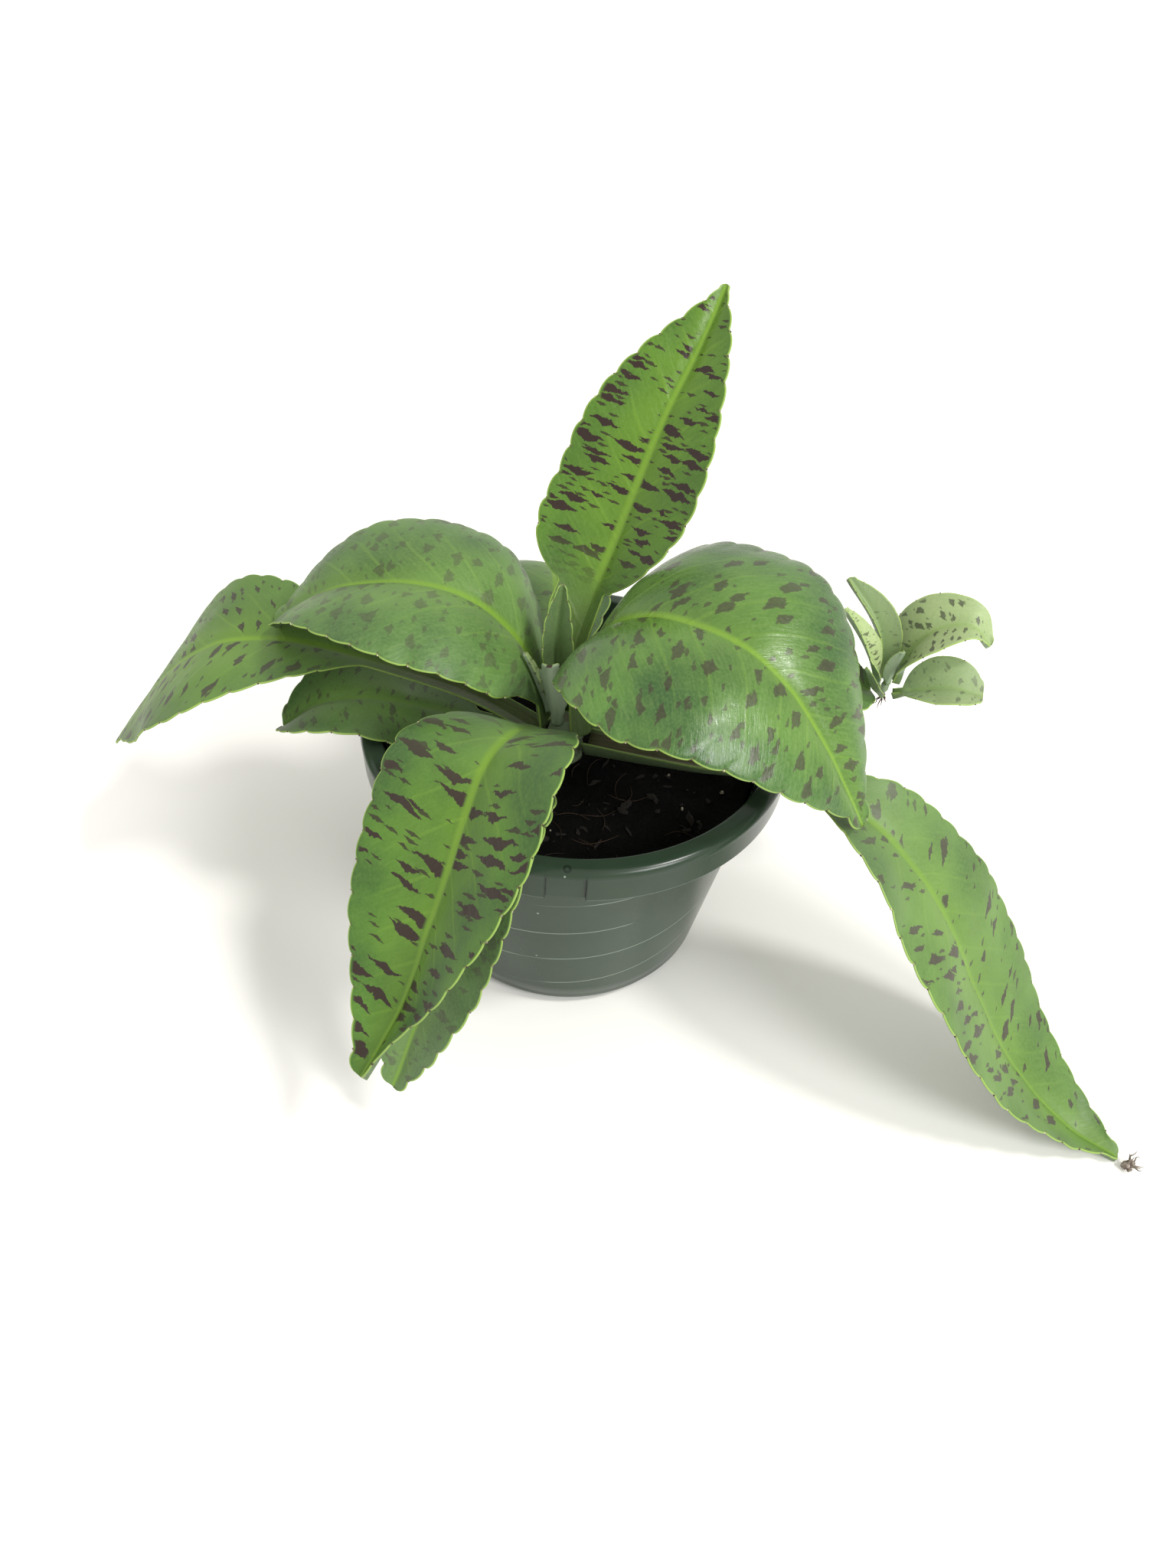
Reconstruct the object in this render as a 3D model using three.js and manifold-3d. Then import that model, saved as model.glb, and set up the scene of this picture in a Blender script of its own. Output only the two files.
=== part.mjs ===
// Potted kalanchoe: a rosette of arching, fleshy leaves in a moulded nursery pot.
// Millimetres, +Z up. The origin is the middle of the pot's flat base.
import * as THREE from 'three';
import { mergeVertices } from 'three/addons/utils/BufferGeometryUtils.js';
import Module from 'manifold-3d';

const wasm = await Module();
wasm.setup();

// ---------------------------------------------------------------- dimensions

// A six inch nursery pot, with a rim skirt that hangs clear of the wall.
const POT = {
  rimRadius: 76.2,
  height: 100,
  lipWidth: 7.2,
  lipRound: 3,
  skirtHeight: 13.4,
  skirtFlare: 0.7,
  wall: 1.6,
  bodyTopRadius: 69.6,
  bodyFootRadius: 52.5,
  footRound: 5,
  floor: 2.4,
  segments: 60,
};

// A shallow flat panel in the front of the skirt.
const PANEL = { width: 13, depth: 1, raise: 0.5 };

const DRAINS = { count: 8, circle: 40, radius: 4, sides: 12 };

const SOIL = { level: 83, wallGap: 0.6, bump: 0.9, mound: 1.2 };

// The crown of the plant stands a little off the pot's axis.
const CROWN = { x: -4, y: -3, radius: 6.6, top: 101, rootTip: 58, gap: 0.5 };

const STALK_THICKNESS = 3.2;
const BLADE_THICKNESS = 1.7;
const MARGIN_THICKNESS = 1.0;
const TIP_HALF_WIDTH = 0.9;

// Each leaf follows a spine, its upper midrib line from the crown to the tip. heading is the
// compass direction that the leaf grows in, in degrees from +X; halfWidth is the blade's, and
// stalk is the stalk's. bladeStart and widest are shares of the length and of the blade.
// roll turns the section about the spine, fold lifts both halves from the midrib, and curl
// bends them further by the margin: degrees at the root, the middle and the tip. wing widens the
// left half near the root.
const LEAVES = {
  leaf_back_upright: {
    spine: [[-1, 6, 96], [-3, 11, 116], [3, 23.5, 137], [11, 36.3, 159], [21.5, 51.8, 187], [33, 69, 209], [39, 81, 222]],
    heading: 62, halfWidth: 27, stalk: 7, bladeStart: 0.29, widest: 0.36, taper: 1.1,
    roll: [0, -3, 0], fold: [35, 15, 20], curl: [10, 0, 0], wing: 8,
  },
  leaf_left_arching: {
    spine: [[-11, -3, 98], [-13, 0, 108], [-18, 3, 121], [-28, 4, 135], [-44, 6, 144], [-65, 9, 144],
      [-87, 12, 137], [-109, 15, 119]],
    heading: 172, halfWidth: 42, stalk: 7, bladeStart: 0.06, widest: 0.46, taper: 1,
    roll: [0, 0, 0], fold: [15, 22, 22], curl: [-30, -50, -10],
  },
  leaf_right_arching: {
    spine: [[2, -6, 97], [0, -4, 112], [2, -3, 128], [9, -6, 144], [21, -13, 154], [37, -23, 158],
      [51, -32, 157], [64, -40, 149], [78, -49, 133], [92, -57, 111]],
    heading: -32, halfWidth: 50, stalk: 6, bladeStart: 0.14, widest: 0.41, taper: 1.1,
    roll: [0, 10, 5], fold: [20, 16, 12], curl: [-20, -46, -30],
  },
  leaf_left_long: {
    spine: [[-12, -3, 92], [-38, 3, 103], [-72, 7, 111], [-103, 10, 116], [-129, 13, 110], [-149, 15, 95],
      [-165, 17, 74], [-179, 19, 55]],
    heading: 175, halfWidth: 34, stalk: 6, bladeStart: 0.33, widest: 0.5, taper: 1.1,
    roll: [0, -8, 0], fold: [20, 8, -10], curl: [0, -5, 0],
  },
  leaf_left_low: {
    spine: [[-12, -3, 87], [-38, -2, 96], [-55, -3, 101], [-74, -4, 104], [-90, -5, 101], [-105, -5, 89]],
    heading: 183, halfWidth: 22, stalk: 6, bladeStart: 0.25, widest: 0.5, taper: 0.6,
    roll: [0, 0, 0], fold: [25, -2, 20], curl: [0, -4, 0],
  },
  leaf_front_upper: {
    spine: [[-7, -11, 97], [-10, -24, 112], [-20, -42, 126], [-27, -57, 127], [-32, -69, 116], [-36, -78, 102],
      [-42, -90, 84], [-49, -104, 64], [-59, -122, 52]],
    heading: 244, halfWidth: 34, stalk: 7, bladeStart: 0.2, widest: 0.38, taper: 0.8,
    roll: [6, 16, 26], fold: [15, 14, 26], curl: [-20, -5, 10],
  },
  leaf_front_lower: {
    spine: [[-7, -11, 89], [-13, -38, 101], [-23, -67, 105], [-28, -77, 97], [-36, -87, 73], [-45, -98, 48],
      [-53, -108, 24]],
    heading: 247, halfWidth: 20, stalk: 6, bladeStart: 0.15, widest: 0.5, taper: 0.7,
    roll: [0, 14, 5], fold: [20, 8, 15], curl: [0, 0, 0],
  },
  leaf_right_long: {
    spine: [[4, -7, 91], [40, -20, 98], [72, -34, 107], [97, -47, 104], [114, -56, 91], [129, -64, 73],
      [142, -71, 51], [162, -82, 22], [184, -94, 5], [200, -103, 2]],
    heading: -28, halfWidth: 32, stalk: 6.5, bladeStart: 0.3, widest: 0.5, taper: 0.8,
    roll: [-5, 3, -10], fold: [35, 8, 20], curl: [15, -10, 0],
  },
  leaf_back_right: {
    spine: [[6, 1, 88], [38, 9, 98], [70, 18, 107], [90, 24, 105], [109, 29, 97]],
    heading: 15, halfWidth: 22, stalk: 5, bladeStart: 0.2, widest: 0.6, taper: 0.6,
    roll: [0, 8, 12], fold: [15, 8, 10], curl: [0, 0, 0],
  },
  leaf_back_low: {
    spine: [[-5, 6, 89], [-9, 42, 102], [-13, 74, 107], [-16, 94, 100], [-19, 110, 86]],
    heading: 98, halfWidth: 23, stalk: 6, bladeStart: 0.2, widest: 0.5, taper: 0.9,
    roll: [0, 0, 0], fold: [25, 8, 0], curl: [0, 0, 0],
  },
};

// Young leaves stand in the crown, and the plantlet's leaves grow from its own short stem.
const SMALL_LEAVES = {
  young_leaf_back: {
    spine: [[-6, 3, 103], [-8, 4, 118], [-9, 6, 135], [-8, 8, 148]],
    heading: 95, halfWidth: 8, stalk: 3, bladeStart: 0.02, widest: 0.4, taper: 0.7,
    roll: [0, 0, 0], fold: [45, 50, 40], curl: [0, 0, 0],
  },
  young_leaf_front: {
    spine: [[-7, -8, 102], [-7.5, -11, 110], [-9, -12.5, 120], [-10.5, -12, 130]],
    heading: 265, halfWidth: 6, stalk: 2.5, bladeStart: 0.02, widest: 0.7, taper: 0.4,
    roll: [0, 0, 0], fold: [30, 35, 30], curl: [20, 20, 10],
  },
  young_leaf_left: {
    spine: [[-10, -4.4, 104], [-13, -4.7, 112], [-16, -5, 121], [-19, -5, 129]],
    heading: 175, halfWidth: 2.4, stalk: 1.2, bladeStart: 0.02, widest: 0.5, taper: 0.6,
    roll: [0, 0, 0], fold: [45, 45, 40], curl: [0, 0, 0],
  },
  plantlet_leaf_upright: {
    spine: [[112.8, 33.4, 99], [108, 38, 118], [95, 46, 134]],
    heading: 130, halfWidth: 8, stalk: 1.8, bladeStart: 0.05, widest: 0.45, taper: 0.8,
    roll: [0, 0, 0], fold: [40, 45, 40], curl: [0, 0, 0],
  },
  plantlet_leaf_left: {
    spine: [[110.6, 28.1, 99.9], [102.2, 23.2, 119], [90, 22, 137]],
    heading: 180, halfWidth: 5.5, stalk: 1.6, bladeStart: 0.05, widest: 0.5, taper: 0.7,
    roll: [0, -30, 0], fold: [40, 30, 30], curl: [0, 0, 0],
  },
  plantlet_leaf_small: {
    spine: [[112.2, 25.2, 98], [106.3, 20, 106], [101.5, 17, 116]],
    heading: 200, halfWidth: 3.4, stalk: 1.2, bladeStart: 0.05, widest: 0.5, taper: 0.7,
    roll: [0, 0, 0], fold: [30, 20, 20], curl: [0, 0, 0],
  },
  plantlet_leaf_arching: {
    spine: [[116.8, 32, 99.5], [119.5, 33, 111], [128, 34, 123], [139, 32, 127], [147, 29, 121]],
    heading: -10, halfWidth: 14, stalk: 1.8, bladeStart: 0.1, widest: 0.36, taper: 0.8,
    roll: [5, 20, 15], fold: [25, 25, 15], curl: [0, -10, 0],
  },
  plantlet_leaf_right: {
    spine: [[116.5, 27.8, 97.2], [126, 24.5, 102.5], [137, 22, 106], [147, 20, 105]],
    heading: -15, halfWidth: 12, stalk: 1.5, bladeStart: 0.12, widest: 0.5, taper: 0.55,
    roll: [0, 15, 12], fold: [30, 25, 18], curl: [0, -8, 0],
  },
  plantlet_leaf_centre: {
    spine: [[113.2, 27.9, 101.5], [114.2, 26.5, 109], [115, 25.5, 118]],
    heading: 300, halfWidth: 3.6, stalk: 1.2, bladeStart: 0.05, widest: 0.5, taper: 0.6,
    roll: [0, 0, 0], fold: [40, 40, 40], curl: [0, 0, 0],
  },
};

const PLANTLET = { x: 113.8, y: 30, low: 95, high: 100.6, radius: 1.7 };

// ---------------------------------------------------------------- materials

const finish = (color, roughness) => new THREE.MeshStandardMaterial({ color, roughness, metalness: 0 });
const potPlastic = finish(0x2c4638, 0.38);
const peat = finish(0x17120e, 0.95);
const stemSkin = finish(0x7f8f6a, 0.6);
const bladeSkin = finish(0x5f9440, 0.4);
const youngSkin = finish(0x8fae86, 0.55);
const driedRoot = finish(0x8a7a68, 0.85);

// ---------------------------------------------------------------- helpers

const radians = THREE.MathUtils.degToRad;

/** A value given at the root, the middle and the tip, read at share u of the length. */
function along([root, middle, tip], u) {
  return u < 0.5 ? root + (middle - root) * 2 * u : middle + (tip - middle) * (2 * u - 1);
}

function toSolid(geometry) {
  const bare = geometry.clone();
  bare.deleteAttribute('normal');
  bare.deleteAttribute('uv');
  const merged = mergeVertices(bare, 1e-4);
  return new wasm.Manifold(new wasm.Mesh({
    numProp: 3,
    vertProperties: new Float32Array(merged.attributes.position.array),
    triVerts: new Uint32Array(merged.index.array),
  }));
}

function toGeometry(solid) {
  const mesh = solid.getMesh();
  const geometry = new THREE.BufferGeometry();
  geometry.setAttribute('position', new THREE.BufferAttribute(mesh.vertProperties, 3));
  geometry.setIndex(new THREE.BufferAttribute(mesh.triVerts, 1));
  geometry.computeVertexNormals();
  return geometry;
}

/** A profile of [radius, height] points turned about the Z axis. */
function turned(profile, segments) {
  const geometry = new THREE.LatheGeometry(profile.map(([r, z]) => new THREE.Vector2(r, z)), segments);
  return geometry.rotateX(Math.PI / 2);
}

/** Points of a circular arc in a profile, angles in degrees. */
function arc(x, z, radius, from, to, steps) {
  return Array.from({ length: steps + 1 }, (_, i) => {
    const angle = radians(from + (to - from) * i / steps);
    return [x + radius * Math.cos(angle), z + radius * Math.sin(angle)];
  });
}

function named(name, geometry, material) {
  const mesh = new THREE.Mesh(geometry, material);
  mesh.name = name;
  return mesh;
}

// ---------------------------------------------------------------- pot and soil

/** The pot wall's outer radius at height z. */
function wallRadius(z) {
  return POT.bodyFootRadius + (POT.bodyTopRadius - POT.bodyFootRadius) * z / POT.height;
}

function potProfile() {
  const { rimRadius, height, lipRound, skirtHeight, skirtFlare, wall, footRound, floor } = POT;
  const skirtFoot = height - skirtHeight;
  const lipInner = rimRadius - POT.lipWidth;
  const under = height - wall;
  return [
    [0, 0],
    ...arc(wallRadius(0) - footRound, footRound, footRound, -90, -8, 4),
    [wallRadius(under), under],
    [rimRadius - wall, under],
    [rimRadius - wall - skirtFlare, skirtFoot],
    [rimRadius - skirtFlare, skirtFoot],
    ...arc(rimRadius - lipRound, height - lipRound, lipRound, 0, 90, 3),
    [lipInner + 0.5, height],
    [lipInner, height - 0.5],
    [wallRadius(height * 0.9) - wall, height * 0.9],
    [wallRadius(footRound) - wall, footRound + floor],
    [wallRadius(0) - wall - footRound, floor],
    [0, floor],
  ];
}

function pot() {
  let solid = toSolid(turned(potProfile(), POT.segments));
  const panel = new THREE.BoxGeometry(PANEL.width, 2 * PANEL.depth, POT.skirtHeight);
  panel.translate(0, -POT.rimRadius + POT.skirtFlare / 2, POT.height - POT.skirtHeight / 2 - POT.lipRound);
  const notch = new THREE.BoxGeometry(PANEL.width, 6, 2 * PANEL.raise);
  notch.translate(0, -POT.rimRadius, POT.height - POT.skirtHeight);
  solid = solid.subtract(toSolid(panel)).subtract(toSolid(notch));
  for (let i = 0; i < DRAINS.count; i++) {
    const angle = 2 * Math.PI * (i + 0.5) / DRAINS.count;
    const hole = new THREE.CylinderGeometry(DRAINS.radius, DRAINS.radius, 4 * POT.floor, DRAINS.sides);
    hole.rotateX(Math.PI / 2);
    hole.translate(DRAINS.circle * Math.cos(angle), DRAINS.circle * Math.sin(angle), 0);
    solid = solid.subtract(toSolid(hole));
  }
  return named('nursery_pot', toGeometry(solid), potPlastic);
}

/** The stem's profile: a pointed root crown in the soil, then the ringed stem. */
function crownProfile(extra) {
  const { radius, top, rootTip } = CROWN;
  return [
    [0, rootTip - extra],
    [1.5 + extra, rootTip + 1],
    [3.4 + extra, rootTip + 10],
    [radius + extra, SOIL.level - 6],
    [radius + extra, top - 12],
    [radius - 1 + extra, top - 5],
    [radius - 3 + extra, top - 1],
    [0, top + extra],
  ];
}

function soil() {
  const { level, wallGap, bump, mound } = SOIL;
  const inner = (z) => wallRadius(z) - POT.wall - wallGap;
  const low = POT.floor + 0.4;
  const rings = [64, 56, 47, 38, 28, 18, 10, 0];
  const profile = [
    [0, low],
    [inner(0) - POT.footRound - 1, low],
    [inner(POT.footRound) - 0.6, POT.footRound + POT.floor + 0.8],
    [inner(level), level - 0.6],
    ...rings.map((r) => [r, level + mound * (1 - r / rings[0])]),
  ];
  const geometry = turned(profile, 40);
  const position = geometry.attributes.position;
  const spot = new THREE.Vector3();
  for (let i = 0; i < position.count; i++) {
    spot.fromBufferAttribute(position, i);
    const reach = Math.hypot(spot.x, spot.y);
    if (spot.z < level - 0.3 || reach > rings[0] - 1) continue;
    const wave = Math.sin(spot.x * 0.23 + 1) * Math.cos(spot.y * 0.19) + Math.sin((spot.x + spot.y) * 0.11);
    position.setZ(i, spot.z + bump * 0.5 * wave);
  }
  const hollow = turned([...crownProfile(CROWN.gap).slice(0, 4), [CROWN.radius + CROWN.gap, level + 20],
    [0, level + 20]], 20);
  hollow.translate(CROWN.x, CROWN.y, 0);
  return named('potting_mix', toGeometry(toSolid(geometry).subtract(toSolid(hollow))), peat);
}

function stem() {
  const geometry = turned(crownProfile(0), 20);
  const mesh = named('stem', geometry, stemSkin);
  mesh.position.set(CROWN.x, CROWN.y, 0);
  return mesh;
}

// ---------------------------------------------------------------- leaves

/** Half the leaf's width at share u of its length. */
function halfWidthAt(leaf, u) {
  const stalk = leaf.stalk * Math.sqrt(1 - u);
  if (u <= leaf.bladeStart) return stalk;
  const x = (u - leaf.bladeStart) / (1 - leaf.bladeStart);
  const rise = leaf.taper * leaf.widest / (1 - leaf.widest);
  const blade = (x / leaf.widest) ** rise * ((1 - x) / (1 - leaf.widest)) ** leaf.taper;
  return Math.max(TIP_HALF_WIDTH, Math.hypot(stalk, leaf.halfWidth * blade));
}

/** How much wider the leaf's left half is near its root, where it has a wing. */
function wingAt(leaf, u) {
  const { smoothstep } = THREE.MathUtils;
  return (leaf.wing ?? 0) * smoothstep(u, 0.11, 0.24) * (1 - smoothstep(u, 0.3, 0.55));
}

/** The leaf's thickness at share u of its length and share v of its half width. */
function thicknessAt(leaf, u, v) {
  const grown = THREE.MathUtils.smoothstep(u, 0, leaf.bladeStart + 0.15);
  const small = Math.min(1, leaf.halfWidth / 16);
  const middle = (STALK_THICKNESS + (BLADE_THICKNESS - STALK_THICKNESS) * grown) * (0.4 + 0.6 * small);
  const margin = MARGIN_THICKNESS * (0.55 + 0.45 * small);
  return middle + (margin - middle) * v ** 1.5;
}

/** One cross-section as a closed ring: the upper side from margin to margin, then the lower. */
function section(leaf, curve, u, half) {
  const point = curve.getPointAt(u);
  const tangent = curve.getTangentAt(u);
  const heading = radians(leaf.heading);
  const side = new THREE.Vector3(-Math.sin(heading), Math.cos(heading), 0);
  side.addScaledVector(tangent, -side.dot(tangent)).normalize();
  side.applyAxisAngle(tangent, radians(along(leaf.roll, u)));
  const up = tangent.clone().cross(side);
  const fold = radians(along(leaf.fold, u));
  const curl = radians(along(leaf.curl, u));
  const rightWidth = halfWidthAt(leaf, u);
  const leftWidth = rightWidth + wingAt(leaf, u);
  const upper = [];
  const lower = [];
  const steps = 12;
  for (let j = -half; j <= half; j++) {
    const share = Math.abs(j) / half;
    const width = j > 0 ? leftWidth : rightWidth;
    let out = 0;
    let lift = 0;
    for (let k = 0; k < steps; k++) {
      const angle = fold + curl * share * (k + 0.5) / steps;
      out += Math.cos(angle) * width * share / steps;
      lift += Math.sin(angle) * width * share / steps;
    }
    const top = point.clone().addScaledVector(side, out * Math.sign(j)).addScaledVector(up, lift);
    const lean = j === 0 ? 0 : fold + curl * share;
    const depth = thicknessAt(leaf, u, share);
    const under = top.clone().addScaledVector(up, -Math.cos(lean) * depth);
    under.addScaledVector(side, Math.sin(lean) * depth * Math.sign(j));
    upper.push(top);
    lower.unshift(under);
  }
  return [...upper, ...lower];
}

/** Skins rings of equal length into one closed body, with flat ends. */
function skinned(rings) {
  const count = rings[0].length;
  const points = rings.flat().flatMap((p) => [p.x, p.y, p.z]);
  const faces = [];
  for (let i = 0; i + 1 < rings.length; i++) {
    for (let j = 0; j < count; j++) {
      const a = i * count + j;
      const b = i * count + (j + 1) % count;
      faces.push(a, a + count, b, b, a + count, b + count);
    }
  }
  const last = (rings.length - 1) * count;
  for (let j = 0; j < count / 2 - 1; j++) {
    const k = count - 1 - j;
    faces.push(j, j + 1, k, j + 1, k - 1, k);
    faces.push(last + j, last + k, last + j + 1, last + j + 1, last + k, last + k - 1);
  }
  const geometry = new THREE.BufferGeometry();
  geometry.setAttribute('position', new THREE.Float32BufferAttribute(points, 3));
  geometry.setIndex(faces);
  geometry.computeVertexNormals();
  return geometry;
}

function leafMesh(name, leaf, stations, half, material) {
  const curve = new THREE.CatmullRomCurve3(leaf.spine.map((p) => new THREE.Vector3(...p)));
  const rings = [];
  for (let i = 0; i <= stations; i++) rings.push(section(leaf, curve, i / stations, half));
  return named(name, skinned(rings), material);
}

// ---------------------------------------------------------------- small parts

/** A thin round strand through the points, with flat ends. */
function strand(points, radius, steps) {
  const round = new THREE.Shape();
  round.absarc(0, 0, radius, 0, 2 * Math.PI);
  const path = new THREE.CatmullRomCurve3(points.map((p) => new THREE.Vector3(...p)));
  return new THREE.ExtrudeGeometry(round, { extrudePath: path, steps, curveSegments: 3 });
}

function joined(geometries) {
  const solids = geometries.map(toSolid);
  return toGeometry(solids.slice(1).reduce((whole, next) => whole.add(next), solids[0]));
}

function plantletStem() {
  const { x, y, low, high, radius } = PLANTLET;
  const middle = (low + high) / 2;
  const geometry = turned([[0, low], [radius * 0.8, low + 0.5], [radius, middle], [radius * 0.8, high - 0.5],
    [0, high]], 10);
  const mesh = named('plantlet_stem', geometry, stemSkin);
  mesh.position.set(x, y, 0);
  return mesh;
}

function plantletRoots() {
  const { x, y, low } = PLANTLET;
  const collar = new THREE.SphereGeometry(1.1, 8, 6).translate(x, y, low - 1.6);
  const strands = [[-2.4, -1.2, -3.4], [0.6, -2.6, -4.2], [2.2, 0.8, -3], [-0.8, 2, -4.6]].map(([dx, dy, dz]) =>
    strand([[x, y, low - 1.6], [x + dx * 0.6, y + dy * 0.6, low - 2.4], [x + dx, y + dy, low - 1.6 + dz]], 0.35, 4));
  return named('plantlet_roots', joined([collar, ...strands]), driedRoot);
}

/** The dried bulbil and its rootlets past the tip of the long right leaf. */
function tipRootlets() {
  const bulbil = new THREE.SphereGeometry(2, 8, 6).scale(1.1, 1, 0.75).translate(202, -106, 2.2);
  const strands = [
    [[202, -106, 2.4], [204.5, -104.5, 4], [206, -105, 6.4]],
    [[202, -106, 2.4], [205, -103.5, 3], [208, -103, 5]],
    [[202, -106, 2], [200, -108, 1.4], [198, -109.5, 1]],
  ].map((points) => strand(points, 0.5, 4));
  return named('tip_rootlets', joined([bulbil, ...strands]), driedRoot);
}

// ---------------------------------------------------------------- assembly

const plant = new THREE.Group();
plant.add(pot(), soil(), stem());
for (const [name, leaf] of Object.entries(LEAVES)) plant.add(leafMesh(name, leaf, 16, 3, bladeSkin));
for (const [name, leaf] of Object.entries(SMALL_LEAVES)) plant.add(leafMesh(name, leaf, 8, 2, youngSkin));
plant.add(plantletStem(), plantletRoots(), tipRootlets());

export default plant;
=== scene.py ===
"""Potted kalanchoe: crenate, blotched leaves in a moulded nursery pot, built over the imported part.

Blender units are metres. Leaf shapes are given in millimetres and degrees, as in the part's source.
"""

import math
from dataclasses import dataclass

import bpy
import numpy as np
from bpy.props import FloatProperty, FloatVectorProperty, IntProperty, PointerProperty
from bpy.types import Operator, Panel, PropertyGroup
from mathutils import Matrix, Vector, noise


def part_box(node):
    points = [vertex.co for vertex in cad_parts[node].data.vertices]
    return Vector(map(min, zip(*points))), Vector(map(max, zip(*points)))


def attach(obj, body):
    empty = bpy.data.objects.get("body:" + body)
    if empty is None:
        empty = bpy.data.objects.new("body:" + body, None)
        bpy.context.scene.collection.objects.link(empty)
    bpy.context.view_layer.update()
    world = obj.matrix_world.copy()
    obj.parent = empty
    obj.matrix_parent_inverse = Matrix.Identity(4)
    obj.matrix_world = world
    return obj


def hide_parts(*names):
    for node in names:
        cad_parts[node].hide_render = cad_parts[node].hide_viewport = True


bl_info = {
    "name": "Potted Kalanchoe",
    "version": (1, 0, 0),
    "blender": (4, 5, 0),
    "location": "3D View > Sidebar > Kalanchoe",
    "description": "Builds a potted kalanchoe: pot, potting mix, stem, leaves, plantlet and stage",
    "category": "Add Mesh",
}

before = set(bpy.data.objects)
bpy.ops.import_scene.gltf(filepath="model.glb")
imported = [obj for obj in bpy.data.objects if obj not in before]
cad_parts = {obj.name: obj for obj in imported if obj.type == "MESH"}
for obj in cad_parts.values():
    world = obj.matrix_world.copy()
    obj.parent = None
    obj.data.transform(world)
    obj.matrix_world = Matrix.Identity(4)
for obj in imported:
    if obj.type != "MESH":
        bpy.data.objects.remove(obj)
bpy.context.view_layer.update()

MM = 0.001
GOLDEN_ANGLE = math.pi * (3 - math.sqrt(5))

# Half the width, in millimetres, from which a leaf has details of full size.
LARGE_HALF_WIDTH = 20
# How much wider than long a blotch is on most leaves.
PLAIN_STRETCH = 2.3
# The thickening under the midrib: its share of the thickness, and its reach in millimetres.
KEEL_SHARE = 0.2
KEEL_WIDTH = 2.5


def linear(red, green, blue):
    """A colour of 0 to 255 screen values, as the linear values that shaders use."""
    shares = (red / 255, green / 255, blue / 255)
    return tuple(c / 12.92 if c <= 0.04045 else ((c + 0.055) / 1.055) ** 2.4 for c in shares)


def colour(name, description, value):
    return FloatVectorProperty(
        name=name, description=description, subtype="COLOR", size=3, min=0, max=1, default=value
    )


def length(name, description, value):
    return FloatProperty(
        name=name, description=description, default=value, min=0, unit="LENGTH", precision=5
    )


# ---------------------------------------------------------------- settings


class KalanchoeLeafSettings(PropertyGroup):
    """Sizes and colours that the leaves share."""

    stalk_thickness: length("Stalk thickness", "Thickness of a large leaf's stalk", 3.2 * MM)
    blade_thickness: length("Blade thickness", "Thickness of a large leaf beside its midrib", 1.7 * MM)
    margin_thickness: length("Margin thickness", "Thickness of a large leaf at its margin", 0.6 * MM)
    tooth_spacing: length("Tooth spacing", "Distance between the notches of a large leaf", 9.8 * MM)
    tooth_depth: length("Tooth depth", "Depth of a notch in a large leaf's margin", 1.5 * MM)
    groove_depth: length("Groove depth", "Depth of the channel along the midrib", 0.7 * MM)
    groove_width: length("Groove width", "Half the width of the midrib's channel", 2.2 * MM)
    ripple: length("Ripple", "Height of the margin's slow waves", 0.8 * MM)
    bud_radius: length("Bud radius", "Radius of the buds in the notches", 0.3 * MM)
    blade: colour("Blade", "The blade's mid green", linear(60, 108, 31))
    blade_deep: colour("Deep green", "The blade's shaded, bluer green", linear(34, 74, 25))
    blade_warm: colour("Warm green", "Yellow green of the sunlit middle", linear(88, 126, 24))
    rib: colour("Rib", "The midrib's lime yellow", linear(118, 156, 44))
    margin: colour("Margin", "The thin bright line along the margin", linear(152, 182, 84))
    blotch: colour("Blotch", "The purple brown of the blotches", linear(40, 20, 14))
    bloom: colour("Bloom", "The waxy grey bloom on the skin", linear(124, 146, 108))
    underside: colour("Underside", "The leaf's duller lower side", linear(84, 106, 68))
    stalk_green: colour("Stalk green", "The stalks' plain green", linear(88, 112, 50))
    stalk_brown: colour("Stalk brown", "The streaky, grey brown channel of old stalks", linear(112, 98, 76))
    bud: colour("Bud", "The dry buds in the notches", linear(62, 42, 36))


class KalanchoePotSettings(PropertyGroup):
    """Sizes and colours of the nursery pot."""

    lip_width: length("Lip width", "Width of the flat top of the rim", 7.2 * MM)
    lip_round: length("Lip round", "Radius of the rim's outer edge", 3 * MM)
    skirt_height: length("Skirt height", "Height of the skirt below the rim", 13.4 * MM)
    skirt_flare: length("Skirt flare", "How much the skirt widens towards the rim", 0.7 * MM)
    wall: length("Wall", "Thickness of the pot's wall", 1.6 * MM)
    body_top_radius: length("Body top radius", "Radius of the body at the rim", 69.6 * MM)
    body_foot_radius: length("Body foot radius", "Radius of the body at the floor", 52.5 * MM)
    foot_round: length("Foot round", "Radius of the rounded foot", 5 * MM)
    panel_width: length("Panel width", "Width of the flat panel in the skirt", 13 * MM)
    panel_depth: length("Panel depth", "Depth of the flat panel in the skirt", 1.0 * MM)
    panel_raise: length("Panel raise", "How far the panel's lower edge is lifted", 0.5 * MM)
    mark_rise: length("Mark rise", "Climb of the three drag marks in a turn of the pot", 54 * MM)
    plastic: colour("Plastic", "The pot's dark green plastic", linear(40, 55, 42))
    # Also the colour of the painted highlight along the skirt's hem.
    scuff_and_highlight: colour("Scuff", "The pale drag marks and specks", linear(176, 190, 178))


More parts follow.
